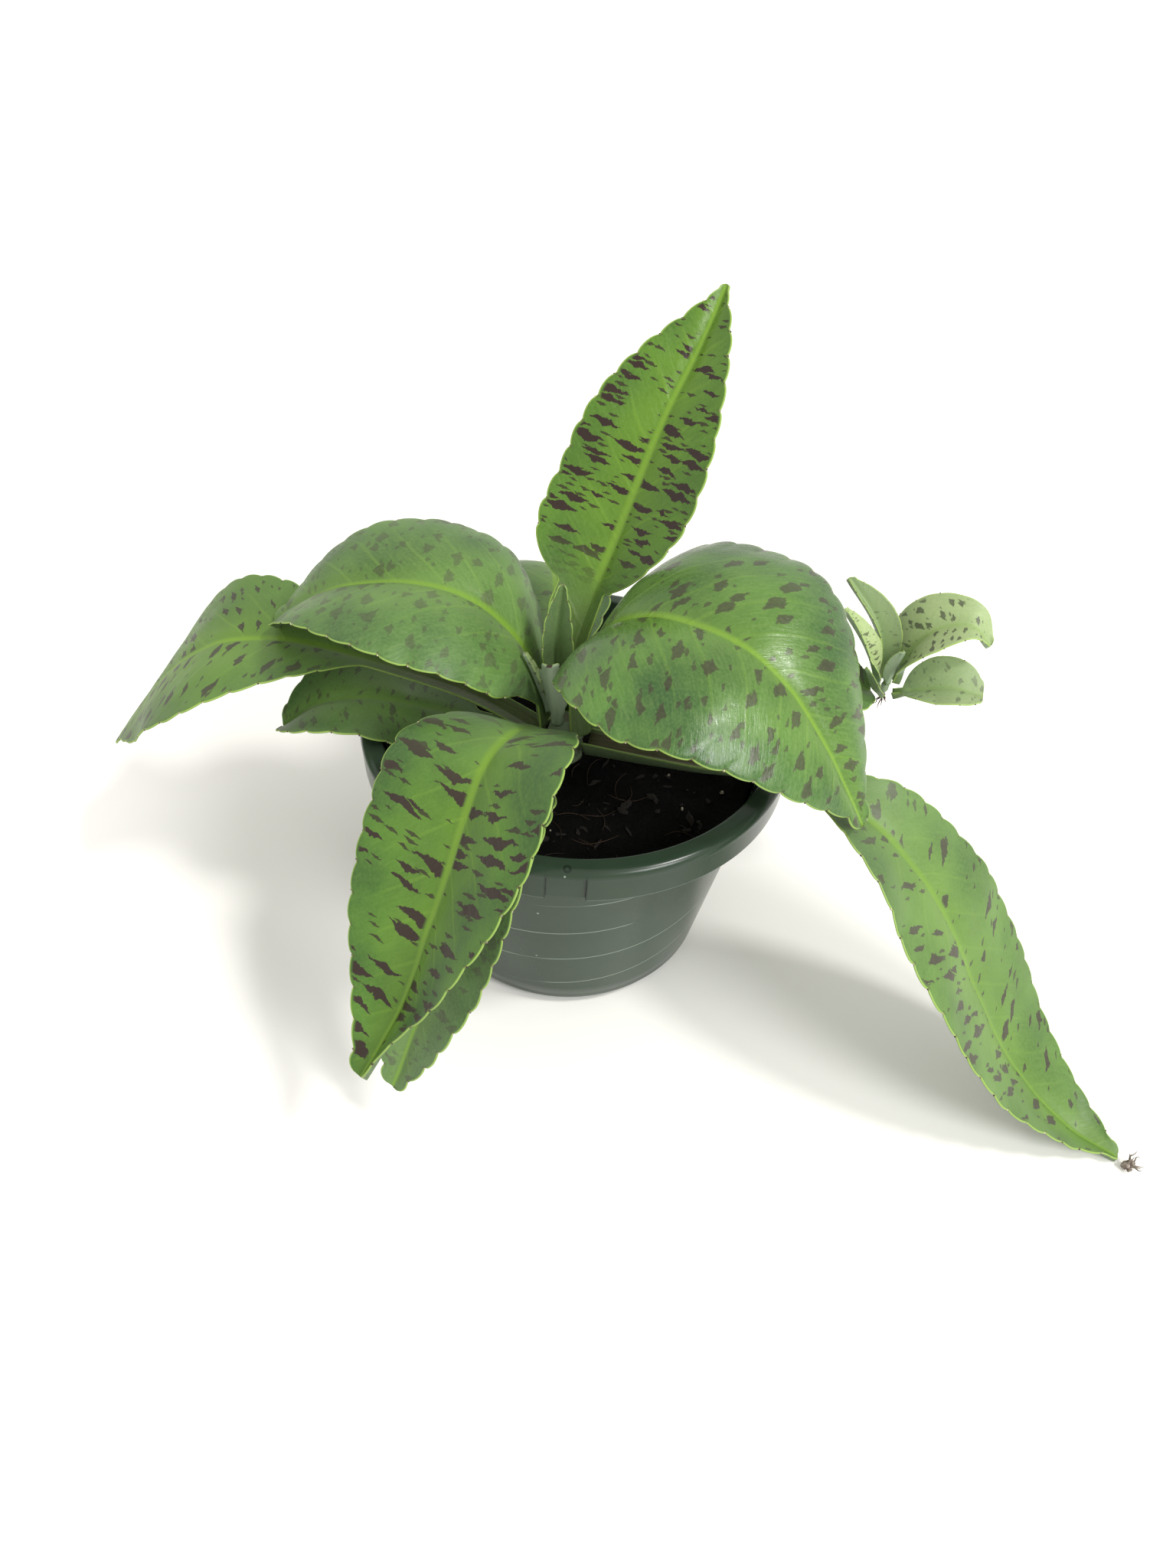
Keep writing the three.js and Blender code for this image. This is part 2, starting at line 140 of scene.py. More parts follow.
class KalanchoeMixSettings(PropertyGroup):
    """What the potting mix is made of."""

    surface: length("Surface height", "Height of the mix above the floor", 83.6 * MM)
    roughness: length("Clod height", "Height of the mix's clods", 2.4 * MM)
    perlite: IntProperty(name="Perlite", description="Number of perlite grains", default=26, min=0)
    bark: IntProperty(name="Bark", description="Number of bark chips", default=240, min=0)
    fibres: IntProperty(name="Fibres", description="Number of peat fibres", default=36, min=0)
    peat: colour("Peat", "The damp peat", linear(9, 8, 7))
    bark_colour: colour("Bark colour", "The bark chips", linear(34, 26, 20))
    fibre_colour: colour("Fibre colour", "The pale peat fibres", linear(70, 52, 38))
    perlite_colour: colour("Perlite colour", "The perlite grains", linear(222, 214, 192))


class KalanchoeStageSettings(PropertyGroup):
    """The floor, the lights and the camera."""

    floor_size: length("Floor size", "Side of the square floor", 9.0)
    floor: colour("Floor", "The floor's pale paint", linear(249, 248, 245))
    key_power: FloatProperty(name="Key power", description="Key light's strength", default=1.3, min=0)
    fill_power: FloatProperty(name="Fill power", description="Window's power, in watts", default=15, min=0)
    sky: FloatProperty(name="Sky", description="Strength of the surrounding light", default=0.92, min=0)
    camera_distance: length("Camera distance", "Camera's distance in front of the pot's axis", 0.3163)
    camera_height: length("Camera height", "Camera's height above the floor", 0.3718)
    camera_down: FloatProperty(
        name="Camera down", description="How far the camera looks down",
        default=math.radians(44.08), unit="ROTATION",
    )
    camera_turn: FloatProperty(
        name="Camera turn", description="How far the camera looks to the right",
        default=math.radians(1.01), unit="ROTATION",
    )
    camera_roll: FloatProperty(
        name="Camera roll", description="How far the camera leans to its left",
        default=math.radians(4.73), unit="ROTATION",
    )
    lens: FloatProperty(name="Lens", description="Focal length", default=27.03, unit="CAMERA")


# ---------------------------------------------------------------- leaf shapes


@dataclass(frozen=True)
class Skin:
    """How one leaf's skin looks, in shares from 0 to 1.

    blotched is the share of places that hold a blotch, stretch how much wider than long a blotch is,
    sweep how far the blotches lean to the root at the margin, channel how brown the stalk is, dust
    the bloom near the root, and fibre how strongly the veins' strands show.
    """

    seed: float
    blotched: float = 0.5
    dark: float = 1.0
    blotch_size: float = 1.0
    warm: float = 0.4
    bloom: float = 0.1
    gloss: float = 0.5
    pale: float = 0.0
    sweep: float = 0.25
    rib: float = 1.0
    channel: float = 0.0
    fibre: float = 0.3
    stretch: float = PLAIN_STRETCH
    dust: float = 0.22


@dataclass(frozen=True, kw_only=True)
class Leaf:
    """One leaf, from its upper midrib line, the spine, which runs from the crown to the tip.

    heading is the compass direction that it grows in, from +X. blade_start and widest are shares
    of the length and of the blade. roll turns the section about the spine, fold lifts both halves
    from the midrib, and curl bends them further by the margin: at the root, the middle and the tip.
    blunt is the share of the length that rounds off the tip, toothed the depth of the notches, and
    wing how much wider the left half is near the root.
    """

    spine: tuple
    heading: float
    half_width: float
    stalk: float
    blade_start: float
    widest: float
    taper: float
    fold: tuple
    skin: Skin
    roll: tuple = (0, 0, 0)
    curl: tuple = (0, 0, 0)
    blunt: float = 0.04
    toothed: float = 1.0
    wing: float = 0.0


LARGE_LEAVES = {
    "leaf_back_upright": Leaf(
        spine=((-1, 6, 96), (-3, 11, 116), (3, 23.5, 137), (11, 36.3, 159), (21.5, 51.8, 187),
               (33, 69, 209), (39, 81, 222)),
        heading=62, half_width=27, stalk=7, blade_start=0.29, widest=0.36, taper=1.0,
        roll=(0, -3, 0), fold=(35, 15, 20), curl=(10, 0, 0),
        skin=Skin(seed=1, blotched=0.95, dark=1, blotch_size=0.75, warm=0.7, bloom=0, gloss=0.9, sweep=0,
                  fibre=0.4, stretch=3, dust=0),
        blunt=0.012, wing=8,
    ),
    "leaf_left_arching": Leaf(
        spine=((-11, -3, 98), (-13, 0, 108), (-18, 3, 121), (-28, 4, 135), (-44, 6, 144),
               (-65, 9, 144), (-87, 12, 137), (-109, 15, 119)),
        heading=172, half_width=42, stalk=7, blade_start=0.06, widest=0.46, taper=1,
        fold=(15, 22, 22), curl=(-30, -50, -10),
        skin=Skin(seed=2, blotched=0.85, dark=0.55, blotch_size=0.8, warm=0.35, bloom=0.28, gloss=0.5,
                  sweep=0, fibre=0.6, stretch=1.1),
    ),
    "leaf_right_arching": Leaf(
        spine=((2, -6, 97), (0, -4, 112), (2, -3, 128), (9, -6, 144), (21, -13, 154),
               (37, -23, 158), (51, -32, 157), (64, -40, 149), (78, -49, 133), (92, -57, 111)),
        heading=-32, half_width=50, stalk=6, blade_start=0.14, widest=0.41, taper=1.1,
        roll=(0, 10, 5), fold=(20, 16, 12), curl=(-20, -46, -30),
        skin=Skin(seed=3, blotched=0.75, dark=0.8, blotch_size=0.85, warm=0.25, bloom=0.18, gloss=1,
                  sweep=-0.3, fibre=0.6, stretch=1.2),
    ),
    "leaf_left_long": Leaf(
        spine=((-12, -3, 92), (-38, 3, 103), (-72, 7, 111), (-103, 10, 116), (-129, 13, 110),
               (-149, 15, 95), (-165, 17, 74), (-179, 19, 55)),
        heading=175, half_width=34, stalk=6, blade_start=0.33, widest=0.5, taper=1.1,
        roll=(0, -8, 0), fold=(20, 8, -10), curl=(0, -5, 0),
        skin=Skin(seed=4, blotched=0.5, dark=0.95, blotch_size=0.75, warm=0.7, bloom=0.15, gloss=0.35,
                  sweep=-0.4, channel=0.5, stretch=1.3),
    ),
    "leaf_left_low": Leaf(
        spine=((-12, -3, 87), (-38, -2, 96), (-55, -3, 101), (-74, -4, 104), (-90, -5, 101),
               (-105, -5, 89)),
        heading=183, half_width=22, stalk=6, blade_start=0.25, widest=0.5, taper=0.6,
        fold=(25, -2, 20), curl=(0, -4, 0),
        skin=Skin(seed=5, blotched=0.5, dark=0.8, blotch_size=0.65, warm=0.5, bloom=0.4, gloss=0.4, rib=0.3,
                  stretch=1.8),
    ),
    "leaf_front_upper": Leaf(
        spine=((-7, -11, 97), (-10, -24, 112), (-20, -42, 126), (-27, -57, 127), (-32, -69, 116),
               (-36, -78, 102), (-42, -90, 84), (-49, -104, 64), (-59, -122, 52)),
        heading=244, half_width=34, stalk=7, blade_start=0.2, widest=0.38, taper=0.8,
        roll=(6, 16, 26), fold=(15, 14, 26), curl=(-20, -5, 10),
        skin=Skin(seed=6, blotched=0.95, dark=1, blotch_size=1, warm=0.4, bloom=0.03, gloss=0.35,
                  sweep=0.15, stretch=2.8),
    ),
    "leaf_front_lower": Leaf(
        spine=((-7, -11, 89), (-13, -38, 101), (-23, -67, 105), (-28, -77, 97), (-36, -87, 73),
               (-45, -98, 48), (-53, -108, 24)),
        heading=247, half_width=20, stalk=6, blade_start=0.15, widest=0.5, taper=0.7,
        roll=(0, 14, 5), fold=(20, 8, 15),
        skin=Skin(seed=7, blotched=0.6, dark=0.7, blotch_size=0.7, warm=0.3, bloom=0.5, gloss=0.4,
                  stretch=1.3),
    ),
    "leaf_right_long": Leaf(
        spine=((4, -7, 91), (40, -20, 98), (72, -34, 107), (97, -47, 104), (114, -56, 91),
               (129, -64, 73), (142, -71, 51), (162, -82, 22), (184, -94, 5), (200, -103, 2)),
        heading=-28, half_width=32, stalk=6.5, blade_start=0.3, widest=0.5, taper=0.8,
        roll=(-5, 3, -10), fold=(35, 8, 20), curl=(15, -10, 0),
        skin=Skin(seed=8, blotched=0.55, dark=1, blotch_size=0.75, warm=0.65, bloom=0.2, gloss=0.45,
                  sweep=0.5, channel=1, stretch=1.5, rib=0.6),
        blunt=0.015,
    ),
    "leaf_back_right": Leaf(
        spine=((6, 1, 88), (38, 9, 98), (70, 18, 107), (90, 24, 105), (109, 29, 97)),
        heading=15, half_width=22, stalk=5, blade_start=0.2, widest=0.6, taper=0.6,
        roll=(0, 8, 12), fold=(15, 8, 10),
        skin=Skin(seed=9, blotched=0.35, dark=0.8, blotch_size=0.7, warm=0.35, bloom=0.4, rib=0.5),
    ),
    "leaf_back_low": Leaf(
        spine=((-5, 6, 89), (-9, 42, 102), (-13, 74, 107), (-16, 94, 100), (-19, 110, 86)),
        heading=98, half_width=23, stalk=6, blade_start=0.2, widest=0.5, taper=0.9,
        fold=(25, 8, 0),
        skin=Skin(seed=10, blotched=0.5, dark=0.7, blotch_size=0.8, warm=0.2, bloom=0.35),
    ),
}

YOUNG_LEAVES = {
    "young_leaf_back": Leaf(
        spine=((-6, 3, 103), (-8, 4, 118), (-9, 6, 135), (-8, 8, 148)),
        heading=95, half_width=8, stalk=3, blade_start=0.02, widest=0.4, taper=0.7,
        fold=(45, 50, 40),
        skin=Skin(seed=11, blotched=0, bloom=0.55, gloss=0.3, warm=0.1, pale=0.15, rib=0.1),
    ),
    "young_leaf_front": Leaf(
        spine=((-7, -8, 102), (-7.5, -11, 110), (-9, -12.5, 120), (-10.5, -12, 130)),
        heading=265, half_width=6, stalk=2.5, blade_start=0.02, widest=0.7, taper=0.4,
        fold=(30, 35, 30), curl=(20, 20, 10),
        skin=Skin(seed=12, blotched=0, bloom=1, gloss=0.2, warm=0.2, pale=0.7, rib=0.2),
        toothed=2.2,
    ),
    "young_leaf_left": Leaf(
        spine=((-10, -4.4, 104), (-13, -4.7, 112), (-16, -5, 121), (-19, -5, 129)),
        heading=175, half_width=2.4, stalk=1.2, blade_start=0.02, widest=0.5, taper=0.6,
        fold=(45, 45, 40),
        skin=Skin(seed=13, blotched=0, bloom=0.7, gloss=0.2, warm=0.6, pale=0.8, rib=0.2),
    ),
}

PLANTLET_LEAVES = {
    "plantlet_leaf_upright": Leaf(
        spine=((112.8, 33.4, 99), (108, 38, 118), (95, 46, 134)),
        heading=130, half_width=8, stalk=1.8, blade_start=0.05, widest=0.45, taper=0.8,
        fold=(40, 45, 40),
        skin=Skin(seed=14, blotched=0.4, dark=0.7, blotch_size=0.35, bloom=0.8, pale=0.5, rib=0.3),
        toothed=0.2,
    ),
    "plantlet_leaf_left": Leaf(
        spine=((110.6, 28.1, 99.9), (102.2, 23.2, 119), (90, 22, 137)),
        heading=180, half_width=5.5, stalk=1.6, blade_start=0.05, widest=0.5, taper=0.7,
        roll=(0, -30, 0), fold=(40, 30, 30),
        skin=Skin(seed=15, blotched=0.8, dark=0.8, blotch_size=0.3, bloom=0.3, pale=0.9, warm=0.6, rib=0.3,
                  stretch=1.2),
        toothed=0.2,
    ),
    "plantlet_leaf_small": Leaf(
        spine=((112.2, 25.2, 98), (106.3, 20, 106), (101.5, 17, 116)),
        heading=200, half_width=3.4, stalk=1.2, blade_start=0.05, widest=0.5, taper=0.7,
        fold=(30, 20, 20),
        skin=Skin(seed=16, blotched=0.4, dark=0.8, blotch_size=0.3, bloom=0.2, warm=0.1, rib=0.3),
        toothed=0.2,
    ),
    "plantlet_leaf_arching": Leaf(
        spine=((116.8, 32, 99.5), (119.5, 33, 111), (128, 34, 123), (139, 32, 127), (147, 29, 121)),
        heading=-10, half_width=14, stalk=1.8, blade_start=0.1, widest=0.36, taper=0.8,
        roll=(5, 20, 15), fold=(25, 25, 15), curl=(0, -10, 0),
        skin=Skin(seed=17, blotched=0.7, dark=0.9, blotch_size=0.4, bloom=0.4, pale=0.75, warm=0.4,
                  rib=0.4, stretch=1.3),
        toothed=0.2,
    ),
    "plantlet_leaf_right": Leaf(
        spine=((116.5, 27.8, 97.2), (126, 24.5, 102.5), (137, 22, 106), (147, 20, 105)),
        heading=-15, half_width=12, stalk=1.5, blade_start=0.12, widest=0.5, taper=0.55,
        roll=(0, 15, 12), fold=(30, 25, 18), curl=(0, -8, 0),
        skin=Skin(seed=18, blotched=0.5, dark=0.7, blotch_size=0.4, bloom=0.7, pale=0.6, warm=0.3,
                  rib=0.3, stretch=1.3),
        blunt=0.06, toothed=0.1,
    ),
    "plantlet_leaf_centre": Leaf(
        spine=((113.2, 27.9, 101.5), (114.2, 26.5, 109), (115, 25.5, 118)),
        heading=300, half_width=3.6, stalk=1.2, blade_start=0.05, widest=0.5, taper=0.6,
        fold=(40, 40, 40),
        skin=Skin(seed=19, blotched=0.2, dark=0.6, blotch_size=0.3, bloom=0.9, pale=0.6, rib=0.2),
        toothed=0.2,
    ),
}


# ---------------------------------------------------------------- shader helpers


class Wire:
    """A shader output that takes part in Python arithmetic: each operator adds a Math node."""

    def __init__(self, shader, socket):
        self.shader = shader
        self.socket = socket

    def __add__(self, other):
        return self.shader.math("ADD", self, other)

    def __radd__(self, other):
        return self.shader.math("ADD", other, self)

    def __sub__(self, other):
        return self.shader.math("SUBTRACT", self, other)

    def __rsub__(self, other):
        return self.shader.math("SUBTRACT", other, self)

    def __mul__(self, other):
        return self.shader.math("MULTIPLY", self, other)

    def __rmul__(self, other):
        return self.shader.math("MULTIPLY", other, self)

    def __truediv__(self, other):
        return self.shader.math("DIVIDE", self, other)

    def __abs__(self):
        return self.shader.math("ABSOLUTE", self)


class Shader:
    """A material's node tree, around one Principled BSDF."""

    def __init__(self, name):
        self.material = bpy.data.materials.new(name)
        self.material.use_nodes = True
        self.tree = self.material.node_tree
        self.tree.nodes.clear()
        self.skin = self.tree.nodes.new("ShaderNodeBsdfPrincipled")
        output = self.tree.nodes.new("ShaderNodeOutputMaterial")
        self.tree.links.new(self.skin.outputs["BSDF"], output.inputs["Surface"])

    def node(self, kind, settings=None, inputs=None, output=0):
        """Adds a node: its settings first, then the values or wires of its inputs."""
        made = self.tree.nodes.new(kind)
        for key, value in (settings or {}).items():
            if key == "stops":
                self.set_stops(made.color_ramp, value)
            else:
                setattr(made, key, value)
        for key, value in (inputs or {}).items():
            self.feed(made.inputs[key], value)
        return Wire(self, made.outputs[output])

    def set_stops(self, ramp, stops):
        while len(ramp.elements) < len(stops):
            ramp.elements.new(1)
        for element, (place, value) in zip(ramp.elements, stops):
            element.position = place
            element.color = (*value, 1)

    def feed(self, socket, value):
        if isinstance(value, Wire):
            self.tree.links.new(value.socket, socket)
        elif socket.type == "RGBA":
            socket.default_value = (*value, 1)
        else:
            socket.default_value = value

    def set(self, **values):
        """Feeds the Principled BSDF: base_color stands for its Base Color input, and so on."""
        for key, value in values.items():
            self.feed(self.skin.inputs[key.replace("_", " ").title().replace("Ior", "IOR")], value)

    def math(self, operation, *values):
        return self.node("ShaderNodeMath", {"operation": operation}, dict(enumerate(values)))

    def clamp(self, value):
        return self.node("ShaderNodeClamp", None, {"Value": value})

    def ramp(self, value, low, high):
        """0 below low and 1 above high, smooth between them; low may be the greater."""
        return self.node(
            "ShaderNodeMapRange",
            {"interpolation_type": "SMOOTHSTEP"},
            {"Value": value, "From Min": low, "From Max": high},
        )

    def mix(self, share, a, b):
        """Colour a at a share of 0 and colour b at 1."""
        return self.node("ShaderNodeMix", {"data_type": "RGBA"}, {0: share, 6: a, 7: b}, output=2)

    def vector(self, x, y, z):
        return self.node("ShaderNodeCombineXYZ", None, {0: x, 1: y, 2: z})

    def parts(self, vector):
        made = self.node("ShaderNodeSeparateXYZ", None, {0: vector})
        return [Wire(self, out) for out in made.socket.node.outputs]

    def output(self, wire, name):
        """Another output of the node that the wire comes from."""
        return Wire(self, wire.socket.node.outputs[name])

    def vector_math(self, operation, *vectors):
        return self.node("ShaderNodeVectorMath", {"operation": operation}, dict(enumerate(vectors)))

    def bend(self, vector, scale, reach):
        """The vector, moved about by noise."""
        inputs = {"Vector": vector, "Scale": scale, "Detail": 4, "Roughness": 0.62}
        drift = self.node("ShaderNodeTexNoise", None, inputs, output=1)
        return self.vector_math("MULTIPLY_ADD", drift, (reach, reach, reach), vector)

    def attribute(self, name):
        """The vector of one of the mesh's marks."""
        return self.node("ShaderNodeAttribute", {"attribute_name": name}, output=1)

    def place(self):
        """The point on the piece, in metres, in the object's own axes."""
        return self.node("ShaderNodeTexCoord", output=3)

    def noise(self, vector, scale, detail=2.0, roughness=0.5):
        return self.node(
            "ShaderNodeTexNoise",
            None,
            {"Vector": vector, "Scale": scale, "Detail": detail, "Roughness": roughness},
        )

    def bump(self, height, strength, distance):
        inputs = {"Height": height, "Strength": strength, "Distance": distance}
        self.set(normal=self.node("ShaderNodeBump", None, inputs))


# ---------------------------------------------------------------- mesh helpers


class Shape:
    """Vertices, faces and per-vertex values gathered into one mesh."""

    def __init__(self):
        self.points = []
        self.faces = []
        self.shades = []
        self.marks = {}

    def add(self, points, faces, shade=0, **marks):
        """Adds a body. marks are per-vertex values, and shade is its material's index."""
        first = len(self.points)
        self.points.extend(map(tuple, points))
        self.faces.extend(tuple(first + i for i in face) for face in faces)
        self.shades.extend([shade] * len(faces))
        for name, values in marks.items():
            held = self.marks.setdefault(name, [])
            held.extend([(0.0, 0.0, 0.0)] * (first - len(held)))
            held.extend(map(tuple, values))

    def build(self, name, node, slot, materials, smooth=True):
        """Makes the object, and lets it ride on the part's one body in its node's place."""
        mesh = bpy.data.meshes.new(name)
        mesh.from_pydata(self.points, [], self.faces)
        for material in materials:
            mesh.materials.append(material)
        mesh.polygons.foreach_set("material_index", self.shades)
        mesh.polygons.foreach_set("use_smooth", [smooth] * len(self.faces))
        for mark, values in self.marks.items():
            values.extend([(0.0, 0.0, 0.0)] * (len(self.points) - len(values)))
            layer = mesh.attributes.new(mark, "FLOAT_VECTOR", "POINT")
            layer.data.foreach_set("vector", np.array(values, np.float32).ravel())
        mesh.validate()
        mesh.update()
        piece = bpy.data.objects.new(name, mesh)
        bpy.context.scene.collection.objects.link(piece)
        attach(piece, "root")
        if node:
            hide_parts(node)
        return piece


def smooth_step(value, low, high):
    share = np.clip((value - low) / (high - low), 0, 1)
    return share * share * (3 - 2 * share)


def spline(points, per_span=60):
    """A centripetal Catmull-Rom curve through the points, and the length up to each of its points."""
    knots = [np.array(p, float) for p in points]
    knots = [2 * knots[0] - knots[1], *knots, 2 * knots[-1] - knots[-2]]
    found = []
    for a, b, c, d in zip(knots, knots[1:], knots[2:], knots[3:]):
        first, middle, last = (np.linalg.norm(q - p) ** 0.5 for p, q in ((a, b), (b, c), (c, d)))
        leave = (b - a) / first - (c - a) / (first + middle) + (c - b) / middle
        arrive = (c - b) / middle - (d - b) / (middle + last) + (d - c) / last
        leave, arrive = leave * middle, arrive * middle
        t = np.linspace(0, 1, per_span, endpoint=False)[:, None]
        cubic = 2 * b - 2 * c + leave + arrive
        square = -3 * b + 3 * c - 2 * leave - arrive
        found.append(b + t * (leave + t * (square + t * cubic)))
    curve = np.concatenate([*found, [knots[-2]]])
    run = np.concatenate([[0], np.cumsum(np.linalg.norm(np.diff(curve, axis=0), axis=1))])
    return curve, run


def read_along(curve, run, where):
    """Points and directions of the curve at the given lengths along it."""
    slope = np.gradient(curve, run, axis=0)
    point = np.stack([np.interp(where, run, curve[:, k]) for k in range(3)], 1)
    way = np.stack([np.interp(where, run, slope[:, k]) for k in range(3)], 1)
    return point, way / np.linalg.norm(way, axis=1, keepdims=True)


def tube(points, radii, sides):
    """A round strand through the points, in metres, with a radius for each of its stations."""
    curve, run = spline(points, 12)
    radii = np.asarray(radii, float)
    where = np.linspace(0, run[-1], max(len(radii), 3 * len(points)))
    radius = np.interp(np.linspace(0, 1, len(where)), np.linspace(0, 1, len(radii)), radii)
    centre, way = read_along(curve, run, where)
    across = np.cross(way[0], (0.3, 0.5, 0.8))
    rings = []
    for spot, direction, size in zip(centre, way, radius):
        across = across - direction * (across @ direction)
        across /= np.linalg.norm(across)
        other = np.cross(direction, across)
        turns = np.arange(sides) * 2 * math.pi / sides
        rings.append(spot + size * (np.outer(np.cos(turns), across) + np.outer(np.sin(turns), other)))
    faces = skin_faces(len(rings), sides)
    return np.concatenate(rings), faces


def skin_faces(rings, count):
    """Faces that join closed rings of count points each, with a face over both ends."""
    faces = []
    for i in range(rings - 1):
        for j in range(count):
            a = i * count + j
            b = i * count + (j + 1) % count
            faces.append((a, b, b + count, a + count))
    faces.append(tuple(range(count - 1, -1, -1)))
    faces.append(tuple(range((rings - 1) * count, rings * count)))
    return faces


def pebble(rings, sides, rough, seed):
    """A rounded, uneven grain of unit radius."""
    points = []
    for i in range(1, rings):
        polar = math.pi * i / rings
        for j in range(sides):
            turn = 2 * math.pi * j / sides
            points.append((math.sin(polar) * math.cos(turn), math.sin(polar) * math.sin(turn),
                           math.cos(polar)))
    points += [(0, 0, 1), (0, 0, -1)]
    points = [
        Vector(p) * (1 + rough * noise.noise(Vector(p) * 1.7 + Vector((seed, 2 * seed, 7)))) for p in points
    ]
    faces = [face[::-1] for face in skin_faces(rings - 1, sides)[:-2]]
    top = (rings - 1) * sides
    for j in range(sides):
        after = (j + 1) % sides
        faces.append((top, j, after))
        faces.append((top + 1, top - sides + after, top - sides + j))
    return np.array([tuple(p) for p in points]), faces


def turned(profile, angles):
    """Points and faces of a closed profile of (radius, height) pairs turned about the Z axis."""
    profile = np.array(profile)
    turns = np.array(angles)
    points = np.stack(
        [np.outer(np.cos(turns), profile[:, 0]), np.outer(np.sin(turns), profile[:, 0]),
         np.broadcast_to(profile[:, 1], (len(turns), len(profile)))], 2,
    ).reshape(-1, 3)
    count = len(profile)
    faces = []
    for i in range(len(turns)):
        after = (i + 1) % len(turns)
        for j in range(count - 1):
            faces.append((i * count + j, after * count + j, after * count + j + 1, i * count + j + 1))
    return points, faces


def arc(x, z, radius, start, end, steps):
    """Points of a circular arc in a profile, angles in degrees."""
    angles = [math.radians(start + (end - start) * i / steps) for i in range(steps + 1)]
    return [(x + radius * math.cos(a), z + radius * math.sin(a)) for a in angles]


# ---------------------------------------------------------------- leaf mesh


def along(values, u):
    """Values given at the root, the middle and the tip, read at the shares u."""
    return np.interp(u, (0, 0.5, 1), values)


def half_width(leaf, u):
    """Half the leaf's width at the shares u of its length, in millimetres, its tip rounded off."""

    def plain(share):
        stalk = leaf.stalk * (1 - share)
        x = np.clip((share - leaf.blade_start) / (1 - leaf.blade_start), 0, 1)
        rise = leaf.taper * leaf.widest / (1 - leaf.widest)
        blade = (x / leaf.widest) ** rise * ((1 - x) / (1 - leaf.widest)) ** leaf.taper
        return np.hypot(stalk, leaf.half_width * blade)

    start = 1 - leaf.blunt
    fall = np.clip((u - start) / leaf.blunt, 0, 1)
    return np.where(u < start, plain(u), plain(np.array(start)) * np.sqrt(1 - fall * fall) + 0.15)


def side_widths(leaf, u, v):
    """Half the leaf's width at the shares u of its length, for each of the columns v."""
    wing = leaf.wing * smooth_step(u, 0.11, 0.24) * (1 - smooth_step(u, 0.3, 0.55))
    return half_width(leaf, u)[:, None] + wing[:, None] * (v > 0)


def thickness(leaf, settings, u, v):
    """The leaf's thickness in millimetres at the shares u of its length and v of its half width."""
    grown = smooth_step(u, 0, leaf.blade_start + 0.15)
    small = min(1, leaf.half_width / 16)
    stalk, blade, margin = (
        t / MM for t in (settings.stalk_thickness, settings.blade_thickness, settings.margin_thickness)
    )
    middle = (stalk + (blade - stalk) * grown) * (0.4 + 0.6 * small)
    rim = margin * (0.55 + 0.45 * small)
    return middle + (rim - middle) * np.abs(v) ** 1.5


def leaf_frame(leaf, u):
    """The spine's points, side directions and up directions at the shares u of its length."""
    curve, run = spline(leaf.spine)
    point, way = read_along(curve, run, u * run[-1])
    heading = math.radians(leaf.heading)
    side = np.array((-math.sin(heading), math.cos(heading), 0))
    side = side - way * (way @ side)[:, None]
    side /= np.linalg.norm(side, axis=1, keepdims=True)
    roll = np.radians(along(leaf.roll, u))[:, None]
    side = side * np.cos(roll) + np.cross(way, side) * np.sin(roll)
    return point, side, np.cross(way, side), run[-1]


def teeth(leaf, margin, u, spacing):
    """Along one margin: how far each point is into a notch, and its distance from the notch."""
    run = np.concatenate([[0], np.cumsum(np.linalg.norm(np.diff(margin, axis=0), axis=1))])
    start = np.interp(leaf.blade_start + 0.04, u, run)
    count = max(3, round((run[-1] - start) / spacing))
    phase = np.clip((run - start) / (run[-1] - start), 0, 1) * count
    step = phase % 1
    lobe = np.sin(math.pi * step ** 1.4) ** 0.4
    grown = smooth_step(phase, 0, 1.5)
    gap = np.minimum(step, 1 - step) * (run[-1] - start) / count + (1 - grown) * 9
    notches = [np.argmin(np.abs(phase - k)) for k in range(1, count)]
    return (1 - lobe) * grown, gap, notches


def leaf_rows(leaf, small):
    """The shares along and across at which a leaf is worked out, and its length in millimetres."""
    *_, reach = leaf_frame(leaf, np.array((0.0, 1.0)))
    stations = int(np.clip(reach / 0.85, 40, 260))
    columns = 15 if small == 1 else 9
    u = 1 - (1 - np.linspace(0, 1, stations)) ** 1.12
    x = np.linspace(-1, 1, 2 * columns + 1)
    return u, x * (1.24 - 0.24 * x * x), reach


def cut_margins(leaf, plain, u, v, spacing):
    """For both margins: how far each point is into a notch, its distance from one, and the notches."""
    notch = np.zeros(plain.shape[:2])
    gap = np.zeros(plain.shape[:2])
    buds = []
    for sign, column in ((-1, 0), (1, len(v) - 1)):
        cut, away, spots = teeth(leaf, plain[:, column], u, spacing)
        half = np.sign(v) == sign
        notch[:, half] = cut[:, None]
        gap[:, half] = away[:, None]
        buds += [(spot, column) for spot in spots]
    return notch, gap, buds


